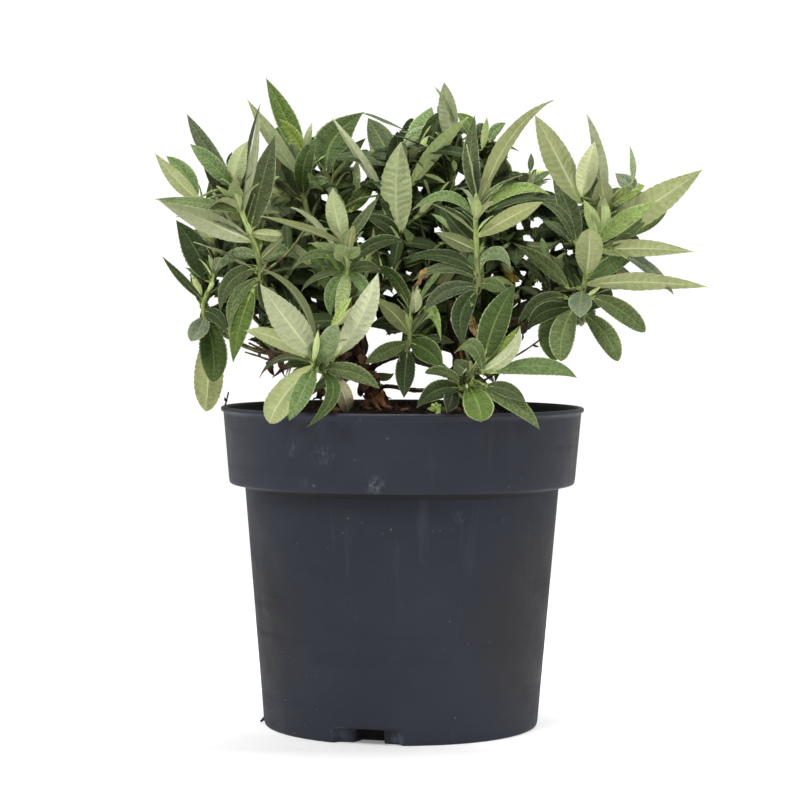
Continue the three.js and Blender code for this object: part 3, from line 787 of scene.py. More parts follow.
# one row a shoot: where it leaves its stem [stem, azimuth, height], a bend, and its head's centre, in mm
BOUGHS = {
    "front_left": (("main", -110, 213), (-36, -58, 222), (-54, -90, 232)),
    "front_right": (("main", -50, 207), (10, -56, 214), (41, -95, 222)),
    "centre_left": (("main", -150, 229), (-32, -44, 256), (-34, -68, 290)),
    "centre_right": (("side", -110, 237), (34, -42, 262), (45, -60, 298)),
    "centre_low": (("main", -60, 220), (-6, -38, 234), (4, -50, 248)),
    "upper_left": (("main", 180, 226), (-62, -26, 254), (-97, -40, 300)),
    "far_left": (("main", -165, 218), (-92, -32, 238), (-118, -28, 284)),
    "right": (("side", -20, 229), (74, -25, 258), (113, -30, 278)),
    "top_left": (("main", 135, 231), (-40, -2, 268), (-53, 0, 335)),
    "top_centre": (("main", 50, 231), (-27, -3, 260), (-1, 0, 338)),
    "top_right": (("side", 60, 239), (46, 8, 270), (75, 20, 325)),
    "heart": (("side", 150, 238), (26, 10, 262), (10, 28, 284)),
    "left_back": (("main", 155, 221), (-70, 20, 236), (-102, 42, 266)),
    "back_left": (("main", 130, 225), (-58, 34, 250), (-84, 72, 308)),
    "back_centre": (("main", 95, 227), (-29, 30, 262), (2, 88, 312)),
    "back_right": (("side", 35, 228), (54, 34, 248), (96, 66, 296)),
    "back_low_left": (("main", 110, 211), (-36, 62, 222), (-56, 100, 242)),
    "back_low_right": (("side", 95, 213), (32, 60, 222), (46, 106, 240)),
}
# the leading stems that show: depth, then places along each in the frame
SHOWN = {
    "upper_left": (-0.040, [[(262, 285), (260, 266), (256, 248), (249, 232), (243, 216), (237, 200), (235, 190)]]),
    "far_left": (-0.030, [[(230, 338), (208, 324), (203, 308), (207, 294), (212, 283), (216, 262), (217, 252)]]),
    "front_left": (-0.090, [[(313, 364), (317, 354)]]),
    "centre_left": (-0.070, [[(347, 285), (347, 262), (345, 245)]]),
    "centre_low": (-0.050, [[(406, 352), (410, 338), (411, 310)]]),
    "centre_right": (-0.060, [[(478, 292), (477, 262), (476, 235), (476, 215), (480, 199)]]),
    "front_right": (-0.095, [[(470, 384), (473, 374)]]),
    "right": (-0.030, [[(578, 305), (583, 290), (588, 265), (597, 242), (601, 222), (604, 210)]]),
    "top_left": (0.0, [[(332, 264), (315, 240), (305, 200), (301, 168)], [(332, 264), (345, 240), (335, 205), (330, 182)]]),
    "top_centre": (0.0, [[(400, 262), (400, 230), (398, 190), (405, 165), (422, 152)], [(400, 228), (424, 212), (445, 196), (455, 172), (452, 152)]]),
    "top_right": (0.020, [[(512, 232), (517, 200), (505, 160), (489, 142)], [(514, 222), (524, 205), (530, 187)]]),
}

# the leading leaves of each shoot: foot, middle and tip in the frame, full width, side that shows
# (U upper, L lower, E on edge, F coming forward), colour; "b" marks a blunt one. Each colour was picked for how
# the leaf looks where it stands, so it holds painted light and shade as well as the leaf's own colour
LEADING_LEAVES = {
    "upper_left": """256,229 262,182 275,135 24 U bd|249,213 254,165 259,106 7 E pg s|246,212 248,160 260,104 6 U dk s f|227,166 229,159 232,152 4 U dk|238,190 237,165 248,141 18 L pm
233,189 211,163 190,144 16 U bg f|229,184 207,149 187,114 16 U dg|241,212 222,190 202,160 14 U in|240,213 200,203 155,199 12 U md f
250,245 208,222 158,200 21 L pg|201,202 177,180 155,153 15 L pa|198,198 184,173 166,156 17 U bg|238,202 235,192 232,182 14 F pl
250,232 268,235 285,237 12 L pa b|262,260 273,248 284,238 9 L ug|257,258 237,254 217,270 12 U gg|266,264 281,251 299,257 14 U fr
257,268 231,281 220,312 16 U bd|252,276 235,300 231,330 12 U md|253,288 240,325 233,363 20 U rc|262,275 263,296 266,312 10 U dp""",
    "far_left": """211,284 197,252 176,220 27 U dd|197,300 181,278 162,256 8 E dk s|206,310 217,317 225,332 13 U dk
203,319 199,329 191,341 18 F gy b|209,320 213,350 213,382 26 U ol b|210,330 209,372 206,411 28 L po b|216,252 212,243 204,238 10 U ly""",
    "front_left": """311,356 288,322 260,284 30 L pg|335,357 361,318 378,273 24 L pv|305,357 275,338 245,331 16 L pa
316,348 298,298 259,268 6 E ug s|331,328 341,312 352,297 7 U yg s|312,364 316,347 318,330 6 L lw s f|333,329 344,317 353,306 5 L pa s|322,368 327,347 337,325 19 E fr b f|322,366 352,372 380,389 16 U md
308,368 284,396 270,423 26 L pa b|312,368 301,395 289,421 19 U bg f|306,362 281,358 259,378 7 E us|318,375 333,394 306,428 14 U ol
330,380 343,393 347,412 16 L be b""",
    "centre_left": """342,243 336,214 333,188 20 L pm|347,243 362,220 379,196 10 U bd|338,247 303,228 260,216 6 E go s f
347,260 341,252 338,244 16 F pl|349,258 355,252 360,247 10 F pl|352,264 376,243 403,241 13 U dk|342,263 316,254 291,271 9 U md
340,270 318,276 301,292 7 E bd|352,270 366,266 380,270 11 U bd|345,272 332,292 331,316 14 U bg|348,272 342,297 335,323 13 U pl
352,273 362,284 366,300 12 U bg""",
    "centre_low": """411,303 396,280 378,266 12 U ol|413,313 417,302 417,289 10 L vp|408,335 394,314 378,303 17 L go
412,335 430,311 441,342 14 U br|405,343 385,352 365,364 15 U md|407,350 405,374 404,398 19 U in|411,343 428,351 443,367 22 U ol
425,337 440,339 455,343 8 U bd|409,328 390,323 368,327 15 U in k|374,374 385,377 394,373 8 U bg""",
    "centre_right": """473,200 471,160 475,115 16 U bd|478,210 509,138 553,100 17 L po|474,218 447,196 411,211 11 U bg
480,215 515,189 550,195 12 U br|480,238 511,217 543,202 17 L po|488,212 517,199 546,200 9 U dk|474,252 456,241 436,233 14 L ug
480,264 497,253 511,269 13 U gg|473,245 458,228 440,205 26 U in|473,273 445,256 402,259 13 U dk|475,279 445,268 412,281 10 U bd
472,285 446,291 425,311 15 U dg|472,288 461,315 465,348 20 U dk|480,283 495,285 508,293 13 U md""",
    "front_right": """484,362 495,322 515,284 28 U ol|481,377 507,356 520,326 13 L pg|480,370 499,350 519,326 11 U ly|490,373 541,366 577,378 17 U bg
476,385 512,402 540,430 17 U md|485,386 508,390 526,403 14 U bd|472,388 478,404 481,421 28 F rc b|483,374 473,346 454,353 15 U md f
470,375 461,367 454,360 16 U bd|462,379 445,372 425,373 10 U md b|462,385 435,391 417,408 18 U dp|455,390 451,400 447,412 16 U bk""",
    "right": """605,215 600,160 587,114 12 L pg|582,197 588,168 595,141 20 L vp|580,203 557,157 535,115 26 L pa
577,245 568,208 551,170 20 U bd|575,245 561,214 538,203 9 U bd|585,275 589,252 589,229 26 L pa b|600,240 593,220 584,200 13 L lw
602,238 606,215 598,192 9 L lw|610,212 603,195 600,178 20 L go|610,208 628,192 645,186 14 U yg|635,190 627,182 615,173 16 U gy
632,183 633,165 630,146 6 U fr|601,247 623,221 656,202 16 U br f|603,252 632,230 653,211 9 U md s|606,243 640,228 667,211 10 U rc k|606,242 655,202 703,169 29 L pa k|598,254 641,248 695,252 16 L pa
590,280 612,264 638,254 17 U bg|624,257 650,269 674,295 11 U gy k|588,287 640,281 708,287 13 L pa|580,291 580,304 580,318 22 F gy
591,297 620,310 645,332 19 U md b|584,314 605,334 618,361 20 U md b|572,305 563,332 561,361 24 U md b f|568,305 551,330 555,361 24 U ol b
568,298 540,302 517,325 14 U bd|572,304 544,312 528,330 17 U dp f|569,289 545,264 513,243 14 U md|575,290 570,280 568,270 14 U ol""",
    "top_left": """303,157 285,117 266,78 20 U rc|305,156 292,135 275,118 14 U ly|297,182 275,140 247,99 14 L pm
298,196 304,165 317,138 17 U ol n|304,152 308,137 312,122 7 L pm f|325,182 331,144 364,112 34 U ol|364,113 384,121 405,130 3 E dg t
384,195 358,155 330,115 8 E pg s f|330,185 345,160 366,138 16 U dd|347,215 352,188 357,160 14 U pl|350,212 362,195 377,178 15 U rc
300,190 318,181 330,182 10 U gg f""",
    "top_centre": """398,238 396,192 401,142 30 L pm|402,241 384,223 362,216 13 U dk f|447,200 442,182 434,162 24 U gg|457,170 452,150 442,132 18 U ol|402,150 416,135 436,127 13 U fr|392,160 380,138 368,118 24 U bd
392,178 378,158 361,160 18 U yg|450,150 448,113 444,82 18 L pg|455,125 446,104 434,86 4 E fr s f
418,160 422,132 432,107 26 U bg|408,190 437,148 468,117 15 L lw|470,135 468,122 456,113 14 U rc|455,172 455,157 445,142 18 U yo
482,150 485,133 487,117 7 L lw""",
    "top_right": """487,142 495,130 506,123 10 U bg|490,145 505,146 519,151 4 E dk|508,180 496,160 481,146 8 U ol
520,185 534,176 551,172 12 U lt|530,185 540,177 553,171 7 U gg|530,172 531,162 531,153 6 U dg
514,241 540,247 560,240 9 L ug f""",
}

# places in the frame where the sky shows through the crown, with their radii
SKY = [
    (576, 154, 5), (519, 226, 3), (533, 224, 2.5), (538, 221, 3), (526, 238, 2.5), (530, 242, 3), (551, 251, 2.5), (556, 248, 2.5), (560, 246, 2), (584, 334, 7), (591, 326, 6), (578, 330, 4), (431, 98, 8), (358, 168, 4), (357, 178, 4), (372, 196, 4), (362, 208, 4),
    (200, 178, 6), (515, 163, 8), (361, 173, 4.5), (256, 320, 5), (505, 384, 8), (520, 381, 6), (367, 199, 4), (222, 279, 3), (213, 302, 4), (255, 322, 5), (252, 333, 4), (228, 340, 4), (258, 155, 2), (318, 168, 2), (325, 197, 3),
    (347, 147, 3), (360, 172, 3), (365, 202, 3), (361, 240, 2), (420, 188, 3), (460, 177, 3), (465, 138, 3),
    (413, 233, 2), (436, 230, 2), (444, 252, 2), (389, 252, 2), (387, 294, 3), (396, 289, 3), (409, 273, 2), (451, 322, 3),
    (478, 300, 3), (489, 275, 2), (526, 256, 3), (524, 272, 2), (517, 283, 3), (538, 286, 3), (552, 250, 3), (527, 238, 2),
    (540, 224, 2), (570, 253, 2), (546, 188, 3), (580, 203, 2), (547, 172, 4),
    (369, 345, 8), (382, 343, 8), (396, 341, 6), (366, 336, 4), (449, 358, 7), (232, 378, 14), (246, 372, 10), (260, 366, 5),
    (250, 390, 16), (225, 392, 10), (228, 365, 5), (545, 395, 16), (520, 390, 10), (504, 381, 6), (560, 345, 0.5), (585, 350, 10),
    (578, 372, 6), (540, 350, 3), (527, 342, 3), (516, 352, 2), (520, 160, 10), (528, 145, 9), (535, 160, 7), (496, 136, 3),
    (608, 318, 4), (622, 326, 5), (600, 311, 3), (622, 297, 6), (635, 300, 8), (634, 270, 3), (635, 232, 2), (565, 363, 3),
    (357, 391, 4), (390, 391, 5), (278, 383, 4), (295, 370, 3), (416, 375, 8), (435, 377, 2), (612, 183, 5), (622, 165, 6),
    (600, 350, 8), (645, 312, 8), (388, 366, 2), (394, 362, 2),
]
SKY = np.array([s for s in SKY if s[2] >= 2], float)
# the body of the crown in the frame, which leaves close but for the places above
BODY = [
    (203, 330), (206, 290), (199, 262), (203, 235), (214, 206), (236, 190), (262, 182), (276, 166), (290, 152), (311, 142),
    (318, 133), (345, 124), (354, 150), (371, 150), (372, 124), (392, 142), (405, 131), (418, 118), (430, 112), (445, 118),
    (463, 118), (476, 126), (490, 126), (497, 139), (506, 148), (510, 162), (520, 176), (533, 184), (547, 200), (566, 194),
    (576, 178), (590, 176), (600, 160), (609, 182), (622, 192), (634, 206), (626, 236), (618, 262), (611, 282), (600, 300),
    (588, 322), (570, 335), (545, 338), (523, 338), (508, 346), (480, 345), (452, 345), (440, 333), (420, 330), (402, 326),
    (385, 334), (364, 333), (350, 340), (325, 345), (300, 343), (284, 330), (262, 328), (247, 344), (226, 332),
]


def masses_in_frame():
    """The CAD masses' outline in the frame, as the bound that grown leaves keep."""
    m = np.zeros((800, 800), bool)
    for name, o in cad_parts.items():
        if not name.startswith("foliage_"):
            continue
        me = o.data
        me.calc_loop_triangles()
        co = np.zeros(len(me.vertices) * 3)
        me.vertices.foreach_get("co", co)
        tri = np.zeros(len(me.loop_triangles) * 3, np.int32)
        me.loop_triangles.foreach_get("vertices", tri)
        px = seen_at(co.reshape(-1, 3))[tri.reshape(-1, 3)]
        for a, b, c in px:
            lo = np.floor(np.minimum(np.minimum(a, b), c)).astype(int)
            hi = np.ceil(np.maximum(np.maximum(a, b), c)).astype(int)
            x, y = np.meshgrid(np.arange(lo[0], hi[0] + 1) + 0.5, np.arange(lo[1], hi[1] + 1) + 0.5)
            d = (b[0] - a[0]) * (c[1] - a[1]) - (b[1] - a[1]) * (c[0] - a[0])
            if abs(d) < 1e-6:
                continue
            w1 = ((x - a[0]) * (c[1] - a[1]) - (y - a[1]) * (c[0] - a[0])) / d
            w2 = ((b[0] - a[0]) * (y - a[1]) - (b[1] - a[1]) * (x - a[0])) / d
            m[lo[1]:hi[1] + 1, lo[0]:hi[0] + 1] |= (w1 >= -0.01) & (w2 >= -0.01) & (w1 + w2 <= 1.01)
    return m


IN_FRAME = masses_in_frame()


def keeps_bounds(points, half):
    """True if a grown leaf keeps to the crown's outline, its sky and the pot's rim."""
    if (points < CAD_LO - 0.004).any() or (points > CAD_HI + 0.004).any():
        return False
    r = np.hypot(points[:, 0], points[:, 1])
    if ((r < 0.119) & (points[:, 2] < 0.2065)).any() or (points[:, 2] < 0.186).any():
        return False
    px = seen_at(points)
    hw = half / per_px(points[:, 1])
    i = np.clip(px.astype(int), 0, 799)
    if not IN_FRAME[i[:, 1], i[:, 0]].all():
        return False
    d = np.hypot(px[:, None, 0] - SKY[None, :, 0], px[:, None, 1] - SKY[None, :, 1])
    return not (d < SKY[None, :, 2] + 0.75 * hw[:, None]).any()


def stem_axis(stem, z):
    """The point of a stem's axis at a height, in mm."""
    (fx, fy), run, _ = STEMS[stem]
    pts = np.array([(fx, fy, SOIL_Z), *run], float)
    return np.array([np.interp(z, pts[:, 2], pts[:, k]) for k in range(3)])


def bough_start(name):
    (stem, az, z), bend, hub = BOUGHS[name]
    axis = stem_axis(stem, z)
    a, e = math.radians(az), math.radians(48)
    out = np.array([math.cos(a) * math.cos(e), math.sin(a) * math.cos(e), math.sin(e)])
    return [(axis + 2 * out) * MM, (axis + 10 * out) * MM, np.array(bend) * MM], np.array(hub) * MM


def add_stem(piece, path, r0, r1, age0, age1, rng, nodes=(), sides=10):
    """A twig or stem with swollen nodes, older and browner towards its foot."""
    s = length_along(path)
    u = s / s[-1]
    r = (r0 + (r1 - r0) * u ** 0.8) * (1 - 0.45 * np.clip((u - 0.86) / 0.14, 0, 1) ** 1.5)
    for n in nodes:
        r = r * (1 + 0.22 * np.exp(-((s - n) / 0.0018) ** 2))
    r = r * (1 + 0.05 * np.sin(s * 900 + rng.uniform(0, 6)))
    age = age0 + (age1 - age0) * u ** 1.7 + 0.25 * np.sin(s * 300 + rng.uniform(0, 6))
    # green turns to brown in streaks
    i, j = np.arange(len(s))[:, None], np.arange(sides)[None, :]
    streak = 0.35 * np.sin(2.3 * j + 0.35 * i) + 0.5 * (np.modf(np.abs(np.sin(12.9898 * i + 78.233 * j)) * 437.585)[0] - 0.5)
    age = np.clip(age[:, None] + streak, 0, len(STEM_AGES) - 1)
    add_tube(piece, path, r, [[STEM_AGES[int(round(a))] for a in row] for row in age], sides)


TONES_TOP = ["bg", "gg", "md", "bd", "dk", "br", "dg"]
TONES_MID = ["md", "dk", "dg", "bd", "gg", "ol", "dp"]
TONES_LOW = ["dp", "ol", "dk", "md", "rc", "bd", "dg"]
# painted shade: dark tones for the leaves that fill the crown's inside
TONES_SHADED_IN = ["in", "sh", "dp", "in", "sh", "ol", "dk"]
TONES_UNDER = ["pa", "gr", "pg", "ug", "go", "po"]


def grown_leaf(piece, tpl, foot, out, up, length, rng, tones, droop, arch, keep, ratio=None):
    """One leaf of the branching rule: it leaves the stem along out, arches, and droops. Returns True if it fits."""
    ratio = ratio or rng.uniform(3.4, 4.6)
    width = length / ratio
    p2 = foot + out * length * 0.97 - Z * droop * length
    p1 = foot + out * length * 0.5 + Z * arch * length - Z * droop * length * 0.2
    t = np.linspace(0.12, 1, 9)[:, None]
    ctrl = 2 * p1 - (foot + p2) / 2
    pts = (1 - t) ** 2 * foot + 2 * t * (1 - t) * ctrl + t ** 2 * p2
    half = width / 2 * np.sin(np.pi * np.clip(t[:, 0], 0, 1)) ** 0.8
    if keep and not keeps_bounds(pts, half):
        return False
    face = up - (up @ out) * out
    if np.linalg.norm(face) < 0.15:
        face = face - 0.4 * out + 0.2 * Z
    side = unit(np.cross(out, unit(face)))
    add_leaf(piece, tpl, foot, p1, p2, width, side, tones, rng, fold=rng.uniform(0.12, 0.42),
             recurve=rng.uniform(0.08, 0.28), wave=rng.uniform(0.02, 0.10), twist=rng.uniform(-0.5, 0.5),
             roll=rng.uniform(-0.3, 0.3), blunt=rng.random() < 0.2)
    return True


def grow(leaves, stems, path, rng, s0, s1, spacing, length, elev, turn, facing=None, side_shoots=0.35, small=0.8,
         radius=0.0016, depth=0):
    """Opposite pairs of leaves up a stem, each pair a quarter turn on from the last, small leaves in their axils,
    and short side shoots that grow by the same rule. facing(out) says whether a leaf of the rule has its place."""
    s = length_along(path)
    T = tangents(path)
    total = s[-1]
    at = s0 * total
    k = 0
    while at < s1 * total:
        u = (at / total - s0) / max(s1 - s0, 1e-6)
        i = int(np.searchsorted(s, at))
        i = min(i, len(path) - 1)
        p, axis = path[i], T[i]
        ref = np.array([0.0, 1.0, 0.0]) if abs(axis[1]) < 0.9 else np.array([1.0, 0, 0])
        e1 = unit(np.cross(axis, ref))
        e2 = np.cross(axis, e1)
        az = turn + k * math.pi / 2 + rng.normal(0, 0.22)
        for half in (0, math.pi):
            a = az + half + rng.normal(0, 0.12)
            el = math.radians(elev[0] + (elev[1] - elev[0]) * u + rng.normal(0, 9))
            radial = e1 * math.cos(a) + e2 * math.sin(a)
            out = unit(radial * math.cos(el) + axis * math.sin(el))
            L = (length[0] + (length[1] - length[0]) * u) * rng.uniform(0.78, 1.12)
            foot = p + radial * radius * 0.7
            pool = TONES_TOP if u > 0.65 else TONES_MID if u > 0.3 else TONES_LOW
            tones = (pool[rng.integers(len(pool))], TONES_UNDER[rng.integers(len(TONES_UNDER))])
            if facing is None or facing(out):
                tpl = MIDDLE if L > 0.026 else SMALL
                for shrink in (1.0, 0.8, 0.62):
                    if grown_leaf(leaves, tpl, foot, out, axis, L * shrink, rng, tones, rng.uniform(0.02, 0.30) * (1.2 - u),
                                  rng.uniform(0.0, 0.10), True):
                        break
            # the small pair in this axil
            if rng.random() < small:
                for sgn in (-1, 1):
                    b = a + sgn * rng.uniform(0.4, 1.0)
                    rr = e1 * math.cos(b) + e2 * math.sin(b)
                    o2 = unit(rr * 0.6 + axis * rng.uniform(0.4, 1.1))
                    if facing is None or facing(o2) or rng.random() < 0.3:
                        grown_leaf(leaves, SMALL, p + rr * radius * 0.6, o2, axis, rng.uniform(0.009, 0.024), rng,
                                   (["bg", "yo", "md", "br", "gg"][rng.integers(5)], ["lw", "py", "pa"][rng.integers(3)]),
                                   rng.uniform(0, 0.2), 0.03, True)
            # a side shoot in it
            if depth == 0 and rng.random() < side_shoots and u < 0.8:
                reach = rng.uniform(0.022, 0.045)
                o3 = unit(radial * 0.8 + Z * rng.uniform(0.3, 0.9))
                if facing is None or facing(o3):
                    tip = foot + o3 * reach + Z * 0.008
                    twig = spline([p, foot + o3 * reach * 0.5, tip])
                    if keeps_bounds(twig, np.full(len(twig), 0.0012)):
                        add_stem(stems, twig, 0.0010, 0.0006, 1.2, 2.6, rng, sides=6)
                        grow(leaves, stems, twig, rng, 0.25, 1.0, 0.011, (0.036, 0.024), (25, 65), rng.uniform(0, 3),
                             facing, 0, 0.4, 0.0008, 1)
        at += spacing * rng.uniform(0.85, 1.2)
        k += 1


def nearest_on(paths, u, v):
    """The point of a shoot's stems that lies nearest to a place in the frame."""
    best = None
    for path in paths:
        px = seen_at(path)
        d = np.hypot(px[:, 0] - u, px[:, 1] - v)
        i = int(d.argmin())
        if best is None or d[i] < best[0]:
            best = (d[i], path[i])
    return best


def clear_of_rim(p0, p1, p2, half):
    """A leaf that hangs over the front of the rim stays outside it: its middle and tip come forward along their
    lines of sight until the whole blade is clear."""
    for _ in range(60):
        t = np.linspace(0.1, 1, 12)[:, None]
        ctrl = 2 * p1 - (p0 + p2) / 2
        q = (1 - t) ** 2 * p0 + 2 * t * (1 - t) * ctrl + t ** 2 * p2
        low = (q[:, 2] < 0.2065 + 0.5 * half * (1 - t[:, 0])) & (np.abs(q[:, 0]) < 0.116)
        front = -np.sqrt(np.maximum(0.1165 ** 2 - q[:, 0] ** 2, 0)) - 0.0015
        over = np.where(low, q[:, 1] - front, 0)
        if over.max() <= 0:
            break
        k = int(over.argmax())
        step = 0.0006
        if t[k, 0] > 0.35:
            p2 = p2 + (EYE - p2) * step / (p2 - EYE)[1] * 1.0
        p1 = p1 + (EYE - p1) * step / (p1 - EYE)[1] * (0.9 if t[k, 0] > 0.35 else 1.4)
    return p1, p2


def within_depth(p):
    """No leaf reaches further forward or back than the crown's bounds."""
    y = min(max(p[1], CAD_LO[1] - 0.010), CAD_HI[1] + 0.006)
    return p if y == p[1] else p + (p - EYE) * (y - p[1]) / (p - EYE)[1]


def leading_leaf(piece, stems, paths, y, text, rng):
    flags = text.split()[6:]
    blunt, runs_on, slender = "b" in flags, "t" in flags, "s" in flags
    # f and n: its blade lies before its neighbours', k: behind them; s: slender and folded along its rib
    shift = -0.013 if "f" in flags else -0.022 if "n" in flags else 0.013 if "k" in flags else 0.0
    foot, mid, tip, w, side, tone = text.split()[:6]
    (bu, bv), (mu, mv), (tu, tv) = (tuple(map(float, p.split(","))) for p in (foot, mid, tip))
    w = float(w)
    gap, base = nearest_on(paths, bu, bv)
    if runs_on:
        base = leading_leaf.tip
    elif gap > 9:
        node = base
        base = on_sight(bu, bv, base[1] - 0.002)
        bow = (node + base) / 2 + Z * 0.1 * np.linalg.norm(base - node)
        add_stem(stems, spline([node, bow, base], 0.001), 0.0010, 0.0007, 1.8, 2.8, rng, (), 8)
    scale = per_px(base[1])
    run = math.hypot(tu - bu, tv - bv)
    long = run * scale
    rise = (bv - tv) / max(run, 1)
    width = w * scale
    roll = 0.0
    if side == "F" or 3.3 * width > long:
        dy = -math.sqrt(max((3.5 * width) ** 2 - long ** 2, (0.4 * long) ** 2))
        if side != "F":
            dy *= 0.75 if (side == "U") == (rise < 0.2) else -0.75
    elif side == "L":
        dy = -0.42 * rise * long + rng.uniform(-0.06, 0.02) * long
    elif side == "U":
        dy = 0.42 * rise * long + rng.uniform(-0.06, 0.06) * long
    else:
        dy = rng.uniform(-0.2, 0.2) * long
    true = math.hypot(long, dy)
    least = true / (9.5 if slender else 4.7 if side == "E" else 5.6)
    if width < least:
        roll = math.acos(width / least)
        width = least
    p1 = on_sight(mu, mv, base[1] + 0.42 * dy + shift)
    p2 = on_sight(tu, tv, base[1] + dy + shift)
    p1, p2 = clear_of_rim(base, within_depth(p1), within_depth(p2), width / 2)
    along = unit(p2 - base)
    S = unit(np.cross(AHEAD, along))
    if tone in LOWER:
        S = -S
    if roll:
        N = np.cross(S, along)
        turns = [S * math.cos(r) + N * math.sin(r) for r in (roll, -roll)]
        S = max(turns, key=lambda q: np.cross(q, along)[2])
        if tone in LOWER and (np.cross(S, along) @ AHEAD) < 0:
            S = min(turns, key=lambda q: np.cross(q, along)[2])
    over = tone in UPPER
    tones = (tone if over else "md", ["pa", "pg", "gr"][rng.integers(3)] if over else tone)
    leading_leaf.tip = p2 - 0.02 * (p2 - p1)
    fold = rng.uniform(0.14, 0.42)
    add_leaf(piece, LEADING, base, p1, p2, width * 1.06, S, tones, rng, fold=0.62 if slender else fold,
             recurve=rng.uniform(0.08, 0.26), wave=rng.uniform(0.02, 0.07), twist=rng.uniform(-0.25, 0.25),
             roll=rng.uniform(-0.18, 0.18), blunt=blunt, foot_width=min(0.2, 0.0024 / width))


def build_shoot(name):
    rng = rng_for(name)
    leaves, stems = Piece("leaves_" + name), Piece("stem_" + name)
    start, hub = bough_start(name)
    if name in SHOWN:
        y, runs = SHOWN[name]
        main = spline(start + [on_sight(u, v, y) for u, v in runs[0]])
        paths = [main]
        for extra in runs[1:]:
            paths.append(spline([on_sight(u, v, y) for u, v in extra]))
    else:
        y = hub[1]
        lead = hub - start[-1]
        apex = hub + unit(unit(lead) * 0.6 + Z * 0.9) * 0.030
        main = spline(start + [hub, apex])
        paths = [main]
    show = name in SHOWN
    nodes = list(np.arange(0.03, length_along(main)[-1], 0.014))
    foot = {"front_right": 0.0013, "far_left": 0.0017}.get(name, 0.0023)
    # painted shade: a shoot further back ends in an older, darker stem colour than one in front
    add_stem(stems, main, foot, 0.0012 if name == "far_left" else 0.00145 if show else 0.0011, 0.0,
             4.3 if show and y < -0.02 else 3.2, rng, nodes, 12)
    for extra in paths[1:]:
        add_stem(stems, extra, 0.0016, 0.0012, 2.0, 3.4, rng, (), 10)
    if name in LEADING_LEAVES:
        for text in LEADING_LEAVES[name].replace("\n", "|").split("|"):
            if text.strip():
                leading_leaf(leaves, stems, paths, y, text.strip(), rng)
    total = length_along(main)[-1]
    turn = rng.uniform(0, 1.5)
    if show:
        facing = lambda out: out[1] > -0.05
        grow(leaves, stems, main, rng, 0.38, 1.0, 0.011, (0.062, 0.048), (-5, 62), turn, facing, 0.5, 0.9)
        for extra in paths[1:]:
            grow(leaves, stems, extra, rng, 0.2, 1.0, 0.012, (0.052, 0.042), (15, 62), rng.uniform(0, 1.5), facing, 0.3, 0.8)
        # small leaves at the very heads
        for path in paths:
            grow(leaves, stems, path[-9:], rng, 0.1, 1.0, 0.0045, (0.026, 0.018), (40, 75), rng.uniform(0, 3), None, 0, 0.5, 0.0008, 1)
    else:
        grow(leaves, stems, main, rng, 0.36, 1.0, 0.0105, (0.070, 0.052), (-25, 66), turn, None, 0.75, 0.9)
        grow(leaves, stems, main, rng, 0.45, 1.0, 0.017, (0.060, 0.050), (-5, 70), turn + 0.8, None, 0.4, 0.5)
        grow(leaves, stems, main[-9:], rng, 0.1, 1.0, 0.0045, (0.030, 0.020), (35, 75), rng.uniform(0, 3), None, 0, 0.5, 0.0008, 1)
    for path in paths:
        i = np.arange(int(len(path) * (0.3 if show else 0.25)), len(path), 3)
        GROWN.append((name, path[i]))
    return leaves, stems


def close_body(shoots):
    """Leaves and short leafy twigs go on growing from the nearest limbs until the crown's body is closed."""
    rng = rng_for("body")
    body = np.zeros((800, 800), bool)
    mark(body, np.array(BODY, float))
    yy, xx = np.nonzero(body)
    far = (np.hypot(xx[:, None] - SKY[None, :, 0], yy[:, None] - SKY[None, :, 1]) > SKY[None, :, 2] + 1.5).all(1)
    body[yy[~far], xx[~far]] = False
    names = [n for n, path in GROWN for _ in path]
    nodes = np.concatenate([path for _, path in GROWN])
    grown = 0
    for k in range(4000):
        yy, xx = np.nonzero(body & ~COVER)
        if len(xx) < 40:
            break
        i = int(rng.integers(len(xx)))
        u, v = xx[i] + 0.5, yy[i] + 0.5
        P = on_sight(u, v, rng.uniform(-0.012, 0.080))
        d = np.linalg.norm(nodes - P, axis=1) + np.clip(nodes[:, 2] - P[2] - 0.012, 0, 1) * 3
        j = int(np.argsort(d)[int(rng.integers(0, 6 if k < 2000 else 24))])
        name, Q = names[j], nodes[j]
        away = np.linalg.norm(P - Q)
        if away < 0.010 or away > 0.100:
            continue
        leaves, stems = shoots[name]
        foot = Q
        if away > 0.040:
            end = P - unit(P - Q) * rng.uniform(0.022, 0.032)
            twig = spline([Q, (Q + end) / 2 + Z * 0.06 * away, end])
            if not keeps_bounds(twig, np.full(len(twig), 0.0010)):
                continue
            add_stem(stems, twig, 0.0010, 0.0007, 1.6, 3.0, rng, sides=6)
            at = twig[4::4]
            names += [name] * len(at)
            nodes = np.concatenate([nodes, at])
            foot = end
        out = unit(P - foot)
        reach = float(np.clip(np.linalg.norm(P - foot) / 0.52, 0.030, 0.070))
        face = unit(0.6 * Z + np.array([0, -0.55, 0]) + rng.normal(0, 0.35, 3))
        # painted shade: the leaves that fill the crown take the dark tones
        tones = (TONES_SHADED_IN[rng.integers(len(TONES_SHADED_IN))], ["ug", "us", "go"][rng.integers(3)])
        for shrink in (1.0, 0.85, 0.7, 0.5, 0.38):
            if grown_leaf(leaves, MIDDLE if reach * shrink > 0.026 else SMALL, foot, out, face, reach * shrink, rng, tones,
                          rng.uniform(0, 0.15), rng.uniform(0, 0.08), True, rng.uniform(2.9, 3.9)):
                grown += 1
                break
        if foot is not Q:
            for _ in range(3):
                o2 = unit(out + rng.normal(0, 0.9, 3))
                grown_leaf(leaves, MIDDLE, foot, o2, face, reach * rng.uniform(0.6, 0.95), rng, tones, rng.uniform(0, 0.2),
                           rng.uniform(0, 0.08), True, rng.uniform(3.0, 4.2))
    return grown, k, int((body & ~COVER).sum())


